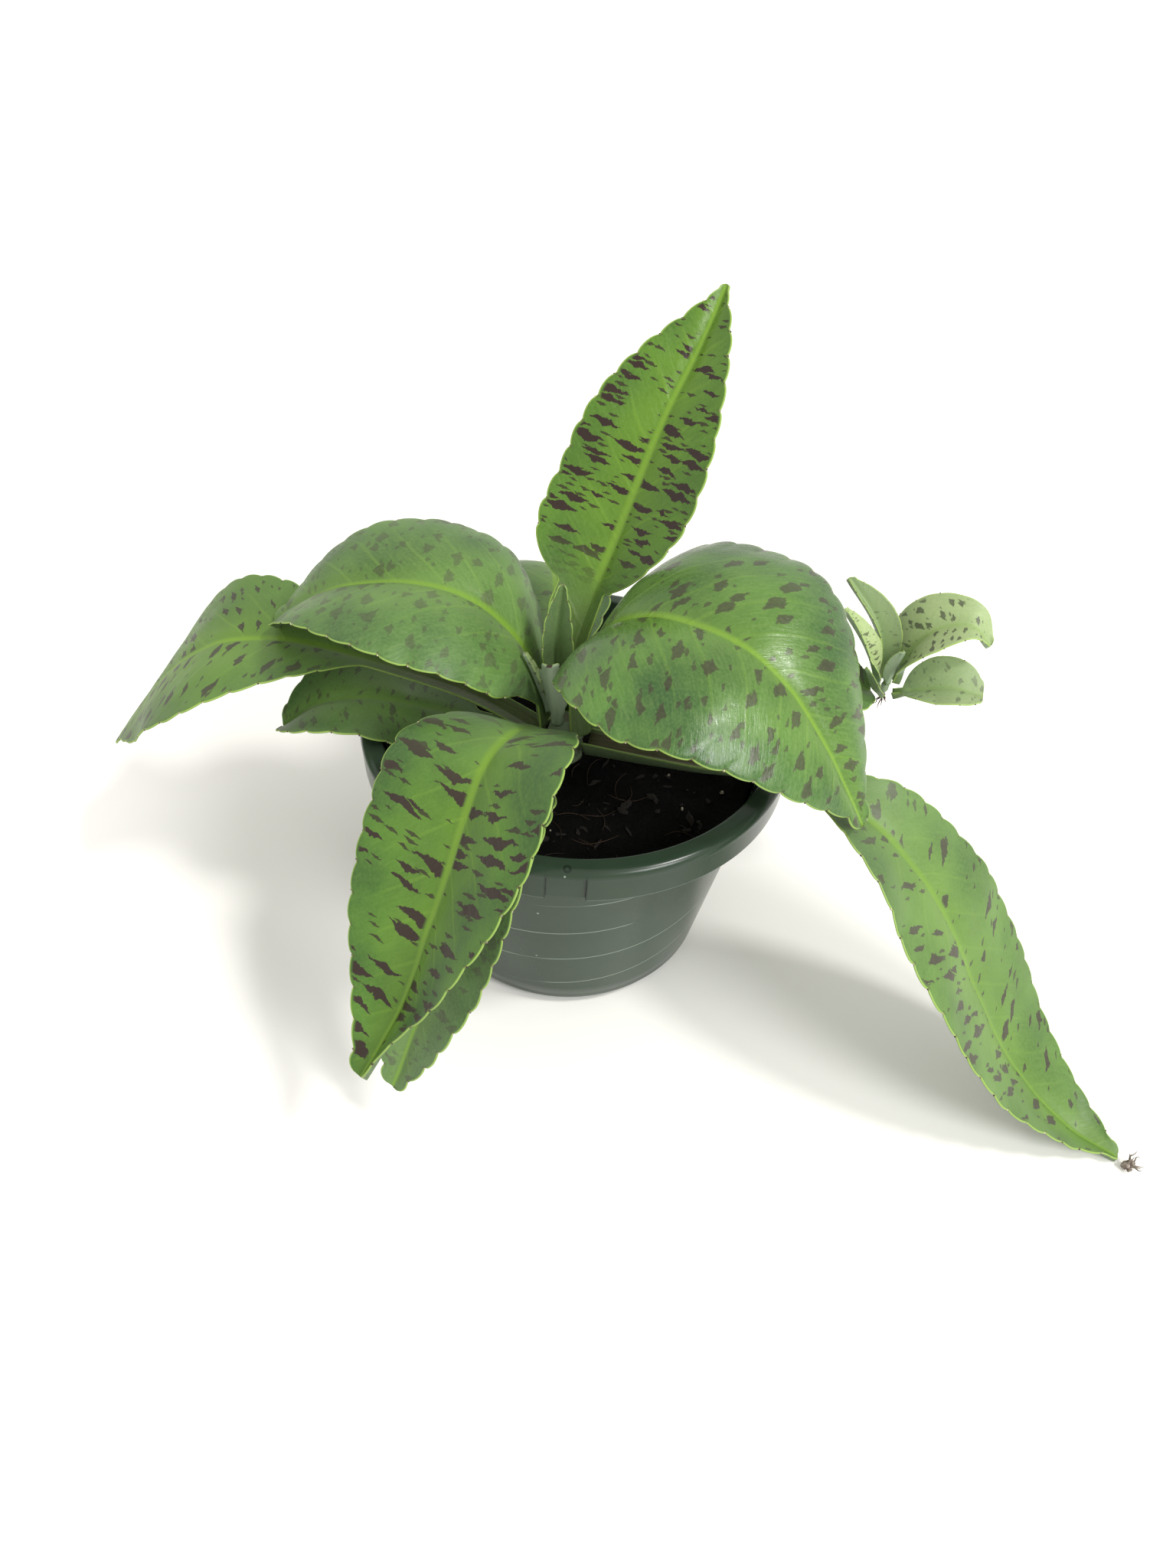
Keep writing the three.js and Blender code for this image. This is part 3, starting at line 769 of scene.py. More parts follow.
def relief(leaf, settings, small, reach, u, v, out, width):
    """The margin's ripples, the midrib's channel and the blade's slow quilting, in millimetres."""
    far = np.abs(v)[None, :]
    blade = smooth_step(u, leaf.blade_start, leaf.blade_start + 0.12)[:, None]
    wave = np.array([[noise.noise(Vector((s * reach * 0.045, half * 5.0, leaf.skin.seed * 3.1)))
                      for half in np.sign(v)] for s in u])
    ripple = settings.ripple / MM * small * wave * smooth_step(far, 0.45, 1) * blade * 2
    groove = settings.groove_depth / MM * small
    groove = groove * np.exp(-((out * MM / settings.groove_width / small) ** 2))
    quilt = np.array([[noise.noise(Vector((s * reach * 0.07, c * w * 0.09, leaf.skin.seed * 7.7)))
                       for c, w in zip(v, row)] for s, row in zip(u, width)])
    return ripple - groove * blade + quilt * 0.5 * small * (1 - far ** 4) * blade


def ring_of(above, brink, lower):
    """Values round each ring of a leaf: the upper side, one brink, the lower side, the other."""
    return np.concatenate([above, brink[:, -1:], lower[:, ::-1], brink[:, :1]], 1)


def leaf_marks(u, v, reach, width, gap):
    """The leaf's marks: grown (along, across and distance from the margin, in metres), share (shares
    along and across, and 1 on the lower side) and notch (distance from a notch, in metres)."""

    def both_sides(values):
        return ring_of(values, values, values)

    shape = (len(u), len(v))
    run = np.broadcast_to((u * reach)[:, None], shape)
    inset = (1 - np.abs(v)) * width
    shares = np.broadcast_to(u[:, None], shape)
    below = ring_of(np.zeros(shape), np.full(shape, 0.3), np.ones(shape))
    near = both_sides(gap) * MM
    return {
        "grown": np.stack([both_sides(m) for m in (run, v[None, :] * width, inset)], 2).reshape(-1, 3) * MM,
        "share": np.stack([both_sides(shares), both_sides(v + np.zeros(shape)), below], 2).reshape(-1, 3),
        "notch": np.stack([near, near, near], 2).reshape(-1, 3),
    }


def bent_section(leaf, u, v, width):
    """Each point's distance out from the midrib's line, its lift above it, and the skin's slope there."""
    fold = np.radians(along(leaf.fold, u))[:, None]
    curl = np.radians(along(leaf.curl, u))[:, None]
    curl = np.where(np.abs(curl) < 1e-3, 1e-3, curl)
    lean = fold + curl * np.abs(v)[None, :]
    out = width * (np.sin(lean) - np.sin(fold)) / curl * np.sign(v)
    lift = width * (np.cos(fold) - np.cos(lean)) / curl
    return out, lift, lean


def add_buds(shape, leaf, settings, small, brink, buds):
    """Sets a bud in each of the margins' notches."""
    bead, faces = pebble(4, 6, 0.3, leaf.skin.seed)
    for count, (spot, column) in enumerate(buds):
        size = settings.bud_radius * (0.5 + 0.5 * small) * (0.8 + 0.5 * ((count * 0.618) % 1))
        centre = brink[spot, column] * MM
        centre[2] = max(centre[2], 1.4 * size)
        shape.add(bead * size + centre, faces, shade=1)


def leaf_shape(leaf, settings):
    """The leaf's closed mesh, its marks, and the buds in its notches."""
    small = min(1, leaf.half_width / LARGE_HALF_WIDTH)
    u, v, reach = leaf_rows(leaf, small)
    point, side, up, _ = leaf_frame(leaf, u)
    width = side_widths(leaf, u, v)
    out, lift, lean = bent_section(leaf, u, v, width)

    def surface(out, lift):
        return point[:, None] + side[:, None] * out[..., None] + up[:, None] * lift[..., None]

    spacing = settings.tooth_spacing / MM * (0.35 + 0.65 * small)
    depth = min(settings.tooth_depth / MM * small ** 0.5, leaf.half_width * 0.12) * leaf.toothed
    notch, gap, buds = cut_margins(leaf, surface(out, lift), u, v, spacing)
    near = smooth_step(np.abs(v)[None, :], 0.62, 1)
    squeeze = 1 - notch * near * np.minimum(depth / np.maximum(width, 1), 0.3)
    way_in = side[:, None] * (np.sin(lean) * np.sign(v))[..., None]
    way_out = side[:, None] * (np.cos(lean) * np.sign(v))[..., None]
    normal = up[:, None] * np.cos(lean)[..., None] - way_in
    upper = surface(out * squeeze, lift * squeeze)
    upper = upper + normal * relief(leaf, settings, small, reach, u, v, out, width)[..., None]
    thick = thickness(leaf, settings, u[:, None], v[None, :])
    blade = smooth_step(u, leaf.blade_start, leaf.blade_start + 0.12)[:, None]
    keel = 1 + KEEL_SHARE * np.exp(-((out / KEEL_WIDTH / small) ** 2)) * blade
    lower = upper - normal * (thick * keel)[..., None]
    edge_way = way_out + up[:, None] * np.sin(lean)[..., None]
    brink = (upper + lower) / 2 + edge_way * (thick * 0.45)[..., None]
    ring = ring_of(upper, brink, lower)
    ring[..., 2] = np.maximum(ring[..., 2], 0.05)

    shape = Shape()
    faces = [face[::-1] for face in skin_faces(len(u), ring.shape[1])]
    shape.add(ring.reshape(-1, 3) * MM, faces, **leaf_marks(u, v, reach, width, gap))
    add_buds(shape, leaf, settings, small, brink, buds)
    return shape


# ---------------------------------------------------------------- leaf materials


def blotch_mask(shader, run, across, skin, spacing, filled):
    """Ragged, pointed streaks that lie across the leaf: one to a cell, on that share of the cells.

    spacing is the length of a cell of a plain blotch, in metres; the skin's stretch widens it.
    """
    spacing = spacing * skin.blotch_size * (PLAIN_STRETCH / skin.stretch) ** 0.5
    cell = (spacing, spacing * skin.stretch, 1)
    half = shader.math("SIGN", across)
    place = shader.vector(run + abs(across) * skin.sweep, across + half * 0.37, skin.seed)
    place = shader.bend(place, 0.42 / spacing * 2.4, spacing * 0.85)
    place = shader.bend(place, 3.4 / spacing, spacing * 0.22)
    place = shader.vector_math("DIVIDE", place, cell)
    cells = shader.node(
        "ShaderNodeTexVoronoi",
        {"voronoi_dimensions": "2D"},
        {"Vector": place, "Scale": 1, "Randomness": 0.85},
    )
    chance, size, lean = shader.parts(shader.output(cells, "Color"))
    off_x, off_y, _ = shader.parts(shader.vector_math("SUBTRACT", place, shader.output(cells, "Position")))
    off_x = off_x + abs(off_y) * (lean - 0.5)
    reach = 0.45 + size * 0.65
    edge = (abs(off_x) * 3.0 + abs(off_y) * 1.9) / reach
    soft = 0.12 + 0.5 * (1 - skin.dark)
    return shader.ramp(edge, 1, 1 - soft) * shader.math("LESS_THAN", chance, filled)


class OnLeaf:
    """Where a point lies on its leaf, and the leaf's noises, as wires of its shader."""

    def __init__(self, shader, leaf):
        self.run, self.across, self.inset = shader.parts(shader.attribute("grown"))
        self.u, self.v, self.below = shader.parts(shader.attribute("share"))
        self.gap = shader.parts(shader.attribute("notch"))[0]
        self.spot = shader.vector(self.run, self.across, leaf.skin.seed)
        self.cloud = shader.noise(self.spot, 38, 3)
        self.fine = shader.noise(self.spot, 900, 3, 0.65)
        self.speckle = shader.ramp(self.fine, 0.3, 0.75)
        self.veinward = self.run - abs(self.across) * 0.95 + (self.cloud - 0.5) * (7 * MM)
        strand = shader.vector(self.veinward / (1.2 * MM), abs(self.across) / (5 * MM), leaf.skin.seed)
        self.striae = shader.noise(shader.bend(strand, 0.3, 2.2), 1, 3, 0.6)


def blade_green(shader, at, skin, settings):
    """The blade's greens: clouds, a warm middle, speckles and strands along the veins."""
    middle = 1 - shader.ramp(abs(at.v), 0.1, 0.8)
    warmth = shader.clamp(skin.warm * 0.9 + middle * 0.35 + (at.cloud - 0.5) * 1.1 - 0.1)
    green = shader.mix(shader.ramp(at.cloud, 0.35, 0.75), settings.blade_deep, settings.blade)
    green = shader.mix(warmth, green, settings.blade_warm)
    green = shader.mix(skin.pale, green, linear(180, 196, 140))
    green = shader.mix(at.speckle * 0.16, green, linear(116, 150, 66))
    pale_strand = shader.ramp(at.striae, 0.45, 0.75) * (0.24 * skin.fibre)
    deep_strand = shader.ramp(at.striae, 0.5, 0.25) * (0.4 * skin.fibre)
    green = shader.mix(pale_strand, green, linear(132, 158, 84))
    return shader.mix(deep_strand, green, settings.blade_deep)


def midrib(shader, at, leaf, small):
    """1 along the midrib, narrower towards the tip."""
    width = (1.5 * MM * small) * (1.2 - at.u)
    grown_blade = shader.ramp(at.u, leaf.blade_start * 0.7, leaf.blade_start + 0.1)
    return (1 - shader.ramp(abs(at.across), width * 0.2, width * 2)) * grown_blade * leaf.skin.rib


def side_veins(shader, at, leaf, small):
    """1 along the veins that run from the midrib towards the margin."""
    veins = shader.math("PINGPONG", at.veinward, 8 * MM * small) / (8 * MM * small)
    return (1 - shader.ramp(veins, 0.02, 0.15)) * shader.ramp(abs(at.v), 0.95, 0.3) * leaf.skin.rib


def blotches(shader, at, leaf, small):
    """1 in the large blotches and the crumbs between them, clear of the midrib, stalk and brink."""
    skin = leaf.skin
    mask = blotch_mask(shader, at.run, at.across, skin, 7.2 * MM, skin.blotched)
    crumbs = blotch_mask(shader, at.run + 0.31, at.across, skin, 3.0 * MM, skin.blotched * 0.3)
    mask = shader.math("MAXIMUM", mask, crumbs * 0.85)
    clear = shader.ramp(abs(at.across), 0.9 * MM * small, 2.2 * MM * small)
    clear = clear * shader.ramp(at.u, leaf.blade_start * 0.9, leaf.blade_start + 0.12)
    clear = clear * shader.ramp(at.inset, 0.3 * MM, 1.5 * MM)
    mask = mask * clear * skin.dark
    return mask * (1 - at.below * 0.75) * (0.9 + at.striae * 0.2)


def stalk_colour(shader, at, skin, settings):
    """The stalk: plain green, or with a streaky brown channel between green sides."""
    streaks = shader.vector(at.run / (14 * MM), at.across / (0.9 * MM), skin.seed)
    streaks = shader.ramp(shader.noise(streaks, 1, 4, 0.6), 0.3, 0.7)
    brown = shader.mix(streaks, linear(66, 56, 42), settings.stalk_brown)
    sides = shader.clamp(shader.ramp(abs(at.v), 0.7, 0.95) + at.below)
    brown = shader.mix(sides, brown, linear(104, 124, 88))
    plain = shader.mix(streaks * 0.4, settings.stalk_green, settings.bloom)
    return shader.mix(skin.channel, plain, brown)


def leaf_material(name, leaf, settings):
    """Blotched, waxy skin: green blade, lime midrib and margin, purple brown blotches."""
    skin, start = leaf.skin, leaf.blade_start
    small = min(1, leaf.half_width / LARGE_HALF_WIDTH)
    shader = Shader(name)
    at = OnLeaf(shader, leaf)
    rib = midrib(shader, at, leaf, small)
    veins = side_veins(shader, at, leaf, small)
    mask = blotches(shader, at, leaf, small)

    green = blade_green(shader, at, skin, settings)
    halo = 1 - shader.ramp(abs(at.across), 1 * MM, 8 * MM * small)
    green = shader.mix(halo * (0.34 * skin.rib), green, settings.blade_warm)
    green = shader.mix(veins * 0.2, green, settings.rib)
    # Painted shade: darker green on one half beside the midrib near the root, standing for the shade in the
    # channel there.
    hollow_shade = shader.ramp(at.u, start + 0.22, start) * shader.ramp(at.v, 0.05, -0.3)
    hollow_shade = hollow_shade * shader.ramp(at.striae, 0.3, 0.6)
    green = shader.mix(hollow_shade * 0.45, green, linear(34, 70, 12))

    dusty = 1 - shader.ramp(at.u, start, start + 0.3)
    bloom = (at.cloud * 1.2 + at.speckle * 0.3 - 0.1) * skin.bloom + dusty * skin.dust
    bloom = shader.clamp(bloom)
    above = shader.mix(shader.clamp(mask), green, settings.blotch)
    above = shader.mix(bloom, above, settings.bloom)
    above = shader.mix(rib * 0.7, above, settings.rib)
    under = shader.mix(shader.ramp(at.cloud, 0.3, 0.8) * 0.5, settings.underside, settings.bloom)
    under = shader.mix(rib * 0.5, under, settings.rib)
    under = shader.mix(skin.pale, under, linear(164, 182, 156))
    under = shader.mix(shader.clamp(mask * 0.8), under, settings.blotch)
    painted = shader.mix(at.below, above, under)

    stalk = 1 - shader.ramp(at.u, start * 0.55, start * 1.15 + 0.02)
    painted = shader.mix(stalk * 0.85, painted, stalk_colour(shader, at, skin, settings))
    brink = 1 - shader.ramp(at.inset, 0.1 * MM * small, 0.4 * MM * small)
    painted = shader.mix(brink * (1 - at.below * 0.6) * 0.75, painted, settings.margin)
    smudge = 1 - shader.ramp(at.gap, 0.2 * MM, 0.9 * MM)
    smudge = smudge * (1 - shader.ramp(at.inset, 0.5 * MM, 1.4 * MM))
    painted = shader.mix(smudge * (0.5 * leaf.toothed), painted, settings.bud)

    uneven = (at.fine - 0.5) * 0.3 + (at.striae - 0.5) * (0.2 + 0.5 * skin.fibre)
    rough = shader.clamp(0.58 - 0.3 * skin.gloss + uneven + bloom * 0.2 + at.below * 0.15)
    shader.set(base_color=painted, roughness=rough, specular_ior_level=0.45)
    height = at.striae * (0.2 + skin.fibre) + at.fine * 0.35 + veins * 0.4
    shader.bump(height + shader.noise(at.spot, 160, 2) * 1.1, 0.45, 0.35 * MM)
    return shader.material


def bud_material(settings):
    """Dry, dark buds with a pale tip here and there."""
    shader = Shader("leaf bud")
    spot = shader.place()
    dark = shader.ramp(shader.noise(spot, 240, 1), 0.45, 0.62)
    shade = shader.mix(dark, settings.bud, linear(206, 200, 170))
    shader.set(base_color=shade, roughness=0.7 + shader.noise(spot, 2400) * 0.2)
    return shader.material


def build_leaves(leaves, slot):
    settings = bpy.context.scene.kalanchoe_leaf
    bud = bpy.data.materials.get("leaf bud") or bud_material(settings)
    for name, leaf in leaves.items():
        skin = leaf_material(name.replace("_", " "), leaf, settings)
        leaf_shape(leaf, settings).build(name + "_blade", name, slot, [skin, bud])


class KALANCHOE_OT_leaves(Operator):
    """Build the large leaves"""

    bl_idname = "kalanchoe.leaves"
    bl_label = "Large leaves"

    def execute(self, context):
        build_leaves(LARGE_LEAVES, "leaf_blade")
        return {"FINISHED"}


class KALANCHOE_OT_young_leaves(Operator):
    """Build the young leaves in the crown"""

    bl_idname = "kalanchoe.young_leaves"
    bl_label = "Young leaves"

    def execute(self, context):
        build_leaves(YOUNG_LEAVES, "young_leaf")
        return {"FINISHED"}


# ---------------------------------------------------------------- pot


# The round mark that the moulding's gate left on the skirt, and the height of the skirt's hem.
GATE_PLACE = (0, -73.6 * MM, 99.2 * MM)
GATE_RADIUS = 1.25 * MM
HEM_HEIGHT = 86.7 * MM


def drag_lines(shader, spot, z, turn, settings):
    """1 along the three spiral drag marks on the pot's body, where they are worn in."""
    climb = z - turn * (settings.mark_rise / (2 * math.pi)) + shader.noise(spot, 9, 1) * (3 * MM)
    mark = shader.math("PINGPONG", climb, settings.mark_rise / 6)
    worn = shader.ramp(shader.noise(spot, 30, 2), 0.36, 0.5)
    line = (1 - shader.ramp(mark, 0.06 * MM, 0.3 * MM)) * worn
    body = 1 - shader.ramp(z, 84 * MM, 87 * MM)
    return line * body * shader.ramp(z, 3 * MM, 10 * MM)


def panel_step_shade(shader, x, y, z, settings):
    """1 along the step at each side of the skirt's panel, where shade is painted as a dark line."""
    step = abs(abs(x) - settings.panel_width / 2)
    step_shade = shader.ramp(step, 0.7 * MM, 0.1 * MM) * shader.ramp(y, -70 * MM, -72 * MM)
    return step_shade * shader.ramp(z, 86 * MM, 87 * MM) * shader.ramp(z, 99.5 * MM, 96 * MM)


def pot_material(settings):
    """Semi-gloss green plastic with spiral drag marks, specks and faint mottling, a painted highlight along
    the hem, and painted shade in the panel's steps and the gate mark's ring.
    """
    shader = Shader("nursery pot plastic")
    spot = shader.place()
    x, y, z = shader.parts(spot)
    cloud = shader.noise(spot, 22, 3)
    fine = shader.noise(spot, 1500, 2)
    line = drag_lines(shader, spot, z, shader.math("ARCTAN2", x, 0 - y), settings)
    specks = shader.node("ShaderNodeTexVoronoi", None, {"Vector": spot, "Scale": 130})
    chance = shader.parts(shader.output(specks, "Color"))[0]
    dust = (1 - shader.ramp(specks, 0.03, 0.07)) * shader.ramp(chance, 0.8, 0.83)
    shade = shader.mix(shader.ramp(cloud, 0.3, 0.7) * 0.25, settings.plastic, linear(68, 86, 68))
    # Painted highlight: a pale line along the skirt's lower edge, where the edge catches the light.
    hem = 1 - shader.ramp(abs(z - HEM_HEIGHT), 0.25 * MM, 0.55 * MM)
    shade = shader.mix(hem * 0.45, shade, settings.scuff_and_highlight)
    shade = shader.mix(line * 0.5, shade, settings.scuff_and_highlight)
    shade = shader.mix(dust * 0.7, shade, settings.scuff_and_highlight)
    gate = shader.output(shader.vector_math("DISTANCE", spot, GATE_PLACE), "Value")
    ring = shader.ramp(abs(gate - GATE_RADIUS), 0.45 * MM, 0.15 * MM)
    step_shade = panel_step_shade(shader, x, y, z, settings)
    # Painted shade: the gate mark's ring groove and the panel's side steps are darkened.
    shade = shader.mix(shader.clamp(ring * 0.7 + step_shade * 0.6), shade, linear(20, 28, 22))
    rough = 0.16 + shader.noise(spot, 60, 3) * 0.12 + line * 0.2 + dust * 0.3
    shader.set(base_color=shade, roughness=rough, specular_ior_level=0.3)
    shader.bump(fine * 0.2 + shader.noise(spot, 120, 2) * 0.8 + line - ring * 2, 0.1, 0.2 * MM)
    return shader.material


def pot_profile(settings, rim, height):
    """The pot's half section, from the middle of its base round to the middle of its floor."""
    wall, foot = settings.wall, settings.foot_round
    base, top = settings.body_foot_radius, settings.body_top_radius
    floor = 2.4 * MM
    skirt_foot = height - settings.skirt_height
    lip_inner = rim - settings.lip_width
    under = height - wall

    def body(z):
        return base + (top - base) * z / height

    outside = [(body(z), z) for z in np.linspace(foot * 1.1, skirt_foot - 1 * MM, 14)]
    skirt = [
        (rim - settings.skirt_flare * (height - z) / settings.skirt_height, z)
        for z in np.linspace(skirt_foot + 0.4 * MM, height - settings.lip_round, 8)
    ]
    return [
        (0.0, 0.0), (base * 0.5, 0.0),
        *arc(body(0) - foot, foot, foot, -90, -8, 8),
        *outside,
        (body(under), under),
        (rim - wall, under),
        (rim - wall - settings.skirt_flare, skirt_foot + 0.3 * MM),
        (rim - wall - settings.skirt_flare + 0.3 * MM, skirt_foot),
        (rim - settings.skirt_flare - 0.4 * MM, skirt_foot),
        *skirt,
        *arc(rim - settings.lip_round, height - settings.lip_round, settings.lip_round, 12, 90, 6),
        *[(r, height) for r in np.linspace(rim - settings.lip_round - 0.6 * MM, lip_inner + 0.9 * MM, 5)],
        *arc(lip_inner + 0.8 * MM, height - 0.8 * MM, 0.8 * MM, 90, 180, 4)[1:],
        (body(height * 0.9) - wall, height * 0.9),
        (body(height * 0.5) - wall, height * 0.5),
        (body(foot) - wall, foot + floor),
        (body(0) - wall - foot, floor),
        (base * 0.5, floor), (0.0, floor),
    ]


def press_panel(points, settings, rim, height, front):
    """Presses the flat panel into the skirt at the angle front, and lifts its lower edge."""
    half = settings.panel_width / 2 / rim
    reach = np.hypot(points[:, 0], points[:, 1])
    turn = np.arctan2(points[:, 1], points[:, 0]) - front
    within = np.abs(turn) < half
    outside = reach > rim - settings.skirt_flare - 0.6 * MM
    panel = within & outside & (points[:, 2] < height - settings.lip_round * 0.9)
    shrink = np.where(panel, 1 - settings.panel_depth / np.maximum(reach, 1 * MM), 1)
    points[:, :2] *= shrink[:, None]
    skirt_foot = height - settings.skirt_height
    lift = settings.panel_raise * (1 - smooth_step(points[:, 2], skirt_foot, skirt_foot + 5 * MM))
    points[:, 2] += np.where(within & (reach > rim - 4 * MM), lift, 0)


class KALANCHOE_OT_pot(Operator):
    """Build the nursery pot"""

    bl_idname = "kalanchoe.pot"
    bl_label = "Nursery pot"

    def execute(self, context):
        settings = context.scene.kalanchoe_pot
        low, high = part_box("nursery_pot")
        rim, height = (high[0] - low[0]) / 2, high[2]
        profile = pot_profile(settings, rim, height)
        half = settings.panel_width / 2 / rim
        front = -math.pi / 2
        sides = [front - half * 1.015, front - half * 0.985, front + half * 0.985, front + half * 1.015]
        plain = np.linspace(front + half * 1.2, front - half * 1.2 + 2 * math.pi, 216)
        inside = np.linspace(front - half * 0.8, front + half * 0.8, 6)
        angles = sorted([*plain, *inside, *sides])
        points, faces = turned(profile, angles)
        press_panel(points, settings, rim, height, front)
        shape = Shape()
        shape.add(points, faces)
        pot = shape.build("nursery_pot_shell", "nursery_pot", "pot_plastic", [pot_material(settings)])
        pot.data.set_sharp_from_angle(angle=math.radians(32))
        return {"FINISHED"}


# ---------------------------------------------------------------- potting mix


def peat_material(settings):
    """Dark, damp peat with brown crumbs."""
    shader = Shader("damp peat")
    spot = shader.place()
    crumbs = shader.noise(spot, 420, 5, 0.7)
    patches = shader.noise(spot, 60, 3)
    shade = shader.mix(shader.ramp(crumbs, 0.55, 0.78) * 0.45, settings.peat, settings.bark_colour)
    shade = shader.mix(shader.ramp(patches, 0.55, 0.75) * 0.5, shade, linear(5, 5, 5))
    shader.set(base_color=shade, roughness=0.8 + crumbs * 0.2, specular_ior_level=0.15)
    shader.bump(crumbs + patches, 1, 1.4 * MM)
    return shader.material


def grain_material(name, shade, scale, dark):
    """A grain or fibre of one colour, mottled towards a darker one."""
    shader = Shader(name)
    spot = shader.place()
    mottle = shader.noise(spot, scale, 4, 0.6)
    shader.set(base_color=shader.mix(shader.ramp(mottle, 0.35, 0.7), dark, shade),
               roughness=0.7 + mottle * 0.25)
    shader.bump(mottle, 0.6, 0.3 * MM)
    return shader.material


def scatter(rng, reach):
    """A random place on a disc."""
    radius = reach * math.sqrt(rng.random())
    turn = rng.random() * 2 * math.pi
    return radius * math.cos(turn), radius * math.sin(turn)


def in_the_way(low, high, x, y):
    """Whether a place lies within a millimetre of a box, seen from above."""
    return low[0] - MM < x < high[0] + MM and low[1] - MM < y < high[1] + MM


def mix_height(settings, x, y):
    """The height of the mix's surface."""
    clods = noise.fractal(Vector((x, y, 0.2)) / (11 * MM), 0.8, 2.1, 4)
    return settings.surface + clods * settings.roughness * 0.5


class KALANCHOE_OT_mix(Operator):
    """Build the potting mix, with its perlite, bark and fibres"""

    bl_idname = "kalanchoe.mix"
    bl_label = "Potting mix"

    def execute(self, context):
        settings = context.scene.kalanchoe_mix
        low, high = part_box("potting_mix")
        reach = (high[0] - low[0]) / 2
        rng = np.random.default_rng(7)
        self.build_surface(settings, low, reach)
        self.build_perlite(settings, rng, reach)
        self.build_bark(settings, rng, reach)
        self.build_fibres(settings, rng, reach)
        return {"FINISHED"}

    def build_surface(self, settings, low, reach):
        radii = np.linspace(1, 0.02, 60) * reach * 0.995
        foot = reach * 0.78
        profile = [(0.0, low[2]), (foot, low[2]), *[(r, settings.surface) for r in radii]]
        points, faces = turned(profile, np.linspace(0, 2 * math.pi, 180, endpoint=False))
        for point in points:
            if point[2] > low[2] + MM:
                point[2] = mix_height(settings, point[0], point[1])
        shape = Shape()
        shape.add(points, faces)
        shape.build("potting_mix_body", "potting_mix", "potting_mix", [peat_material(settings)])

    def build_perlite(self, settings, rng, reach):
        shape = Shape()
        stem_low, stem_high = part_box("stem")
        for count in range(settings.perlite):
            x, y = scatter(rng, reach * 0.94)
            size = rng.uniform(0.25, 0.8) * MM
            if in_the_way(stem_low, stem_high, x, y):
                continue
            grain, faces = pebble(5, 7, 1.2, count)
            spot = (x, y, mix_height(settings, x, y) + size * 0.3)
            shape.add(grain * size * rng.uniform(0.7, 1.2, 3) + spot, faces)
        material = grain_material("perlite", settings.perlite_colour, 900, linear(168, 158, 136))
        shape.build("perlite_grains", None, "potting_mix", [material])

    def build_bark(self, settings, rng, reach):
        shape = Shape()
        for count in range(settings.bark):
            x, y = scatter(rng, reach * 0.92)
            size = rng.uniform(0.5, 2.3) * MM
            chip, faces = pebble(4, 6, 1.6, count * 1.7)
            turn = Matrix.Rotation(rng.uniform(0, 2 * math.pi), 3, "Z")
            tilt = Matrix.Rotation(rng.uniform(-0.5, 0.5), 3, "X")
            chip = chip * (1, rng.uniform(0.3, 0.6), rng.uniform(0.15, 0.3)) * size
            chip = chip @ np.array(turn @ tilt).T
            shape.add(chip + (x, y, mix_height(settings, x, y) + 0.3 * MM), faces)
        material = grain_material("bark", settings.bark_colour, 500, linear(24, 19, 16))
        shape.build("bark_chips", None, "potting_mix", [material], smooth=False)

    def build_fibres(self, settings, rng, reach):
        shape = Shape()
        for _ in range(settings.fibres):
            x, y = scatter(rng, reach * 0.88)
            turn = rng.uniform(0, 2 * math.pi)
            size = rng.uniform(3, 9) * MM
            points = []
            for step in np.linspace(-1, 1, 4):
                px = x + math.cos(turn + 0.3 * step) * size * step
                py = y + math.sin(turn + 0.3 * step) * size * step
                if math.hypot(px, py) > reach * 0.96:
                    break
                lift = rng.uniform(0.1, 1.0) * MM
                points.append((px, py, mix_height(settings, px, py) + lift))
            if len(points) == 4:
                thin = rng.uniform(0.08, 0.2) * MM
                strand, faces = tube(points, (thin * 0.5, thin, thin, thin * 0.4), 5)
                shape.add(strand, faces)
        material = grain_material("peat fibre", settings.fibre_colour, 300, linear(60, 44, 32))
        shape.build("peat_fibres", None, "potting_mix", [material])


# ---------------------------------------------------------------- stem, plantlet and roots


def stem_material():
    """Pale, glaucous stem skin with brown leaf scars."""
    shader = Shader("stem skin")
    spot = shader.place()
    z = shader.parts(spot)[2]
    cloud = shader.noise(spot, 160, 3)
    rings = 1 - shader.ramp(shader.math("PINGPONG", z + cloud * (2 * MM), 3 * MM), 0.2 * MM, 0.8 * MM)
    shade = shader.mix(cloud, linear(118, 138, 98), linear(150, 168, 140))
    shade = shader.mix(rings * 0.5, shade, linear(110, 92, 72))
    shader.set(base_color=shade, roughness=0.5 + cloud * 0.2)
    shader.bump(cloud - rings, 0.5, 0.4 * MM)
    return shader.material


def ringed_stalk(low, high, top_share):
    """A stem's mesh in its node's box: a round stalk with a ridge at each pair of leaves."""
    centre = (low + high) / 2
    radius = min(high[0] - low[0], high[1] - low[1]) / 2
    tall = high[2] - low[2]
    profile = [(0.0, low[2])]
    for share in np.linspace(0.02, 0.98, 60):
        taper = min(1, share / 0.35) ** 0.6 * min(1, (1 - share) / top_share) ** 0.5
        ridge = 0.04 * math.cos(share * tall / (5 * MM) * 2 * math.pi)
        profile.append((radius * taper * (0.95 + ridge), low[2] + share * tall))
    profile.append((0.0, high[2]))
    points, faces = turned(profile, np.linspace(0, 2 * math.pi, 36, endpoint=False))
    return points + (centre[0], centre[1], 0), faces


class KALANCHOE_OT_stem(Operator):
    """Build the stem that the leaves grow from"""

    bl_idname = "kalanchoe.stem"
    bl_label = "Stem"

    def execute(self, context):
        low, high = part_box("stem")
        shape = Shape()
        shape.add(*ringed_stalk(low, high, 0.12))
        shape.build("stem_stalk", "stem", "stem_skin", [stem_material()])
        return {"FINISHED"}


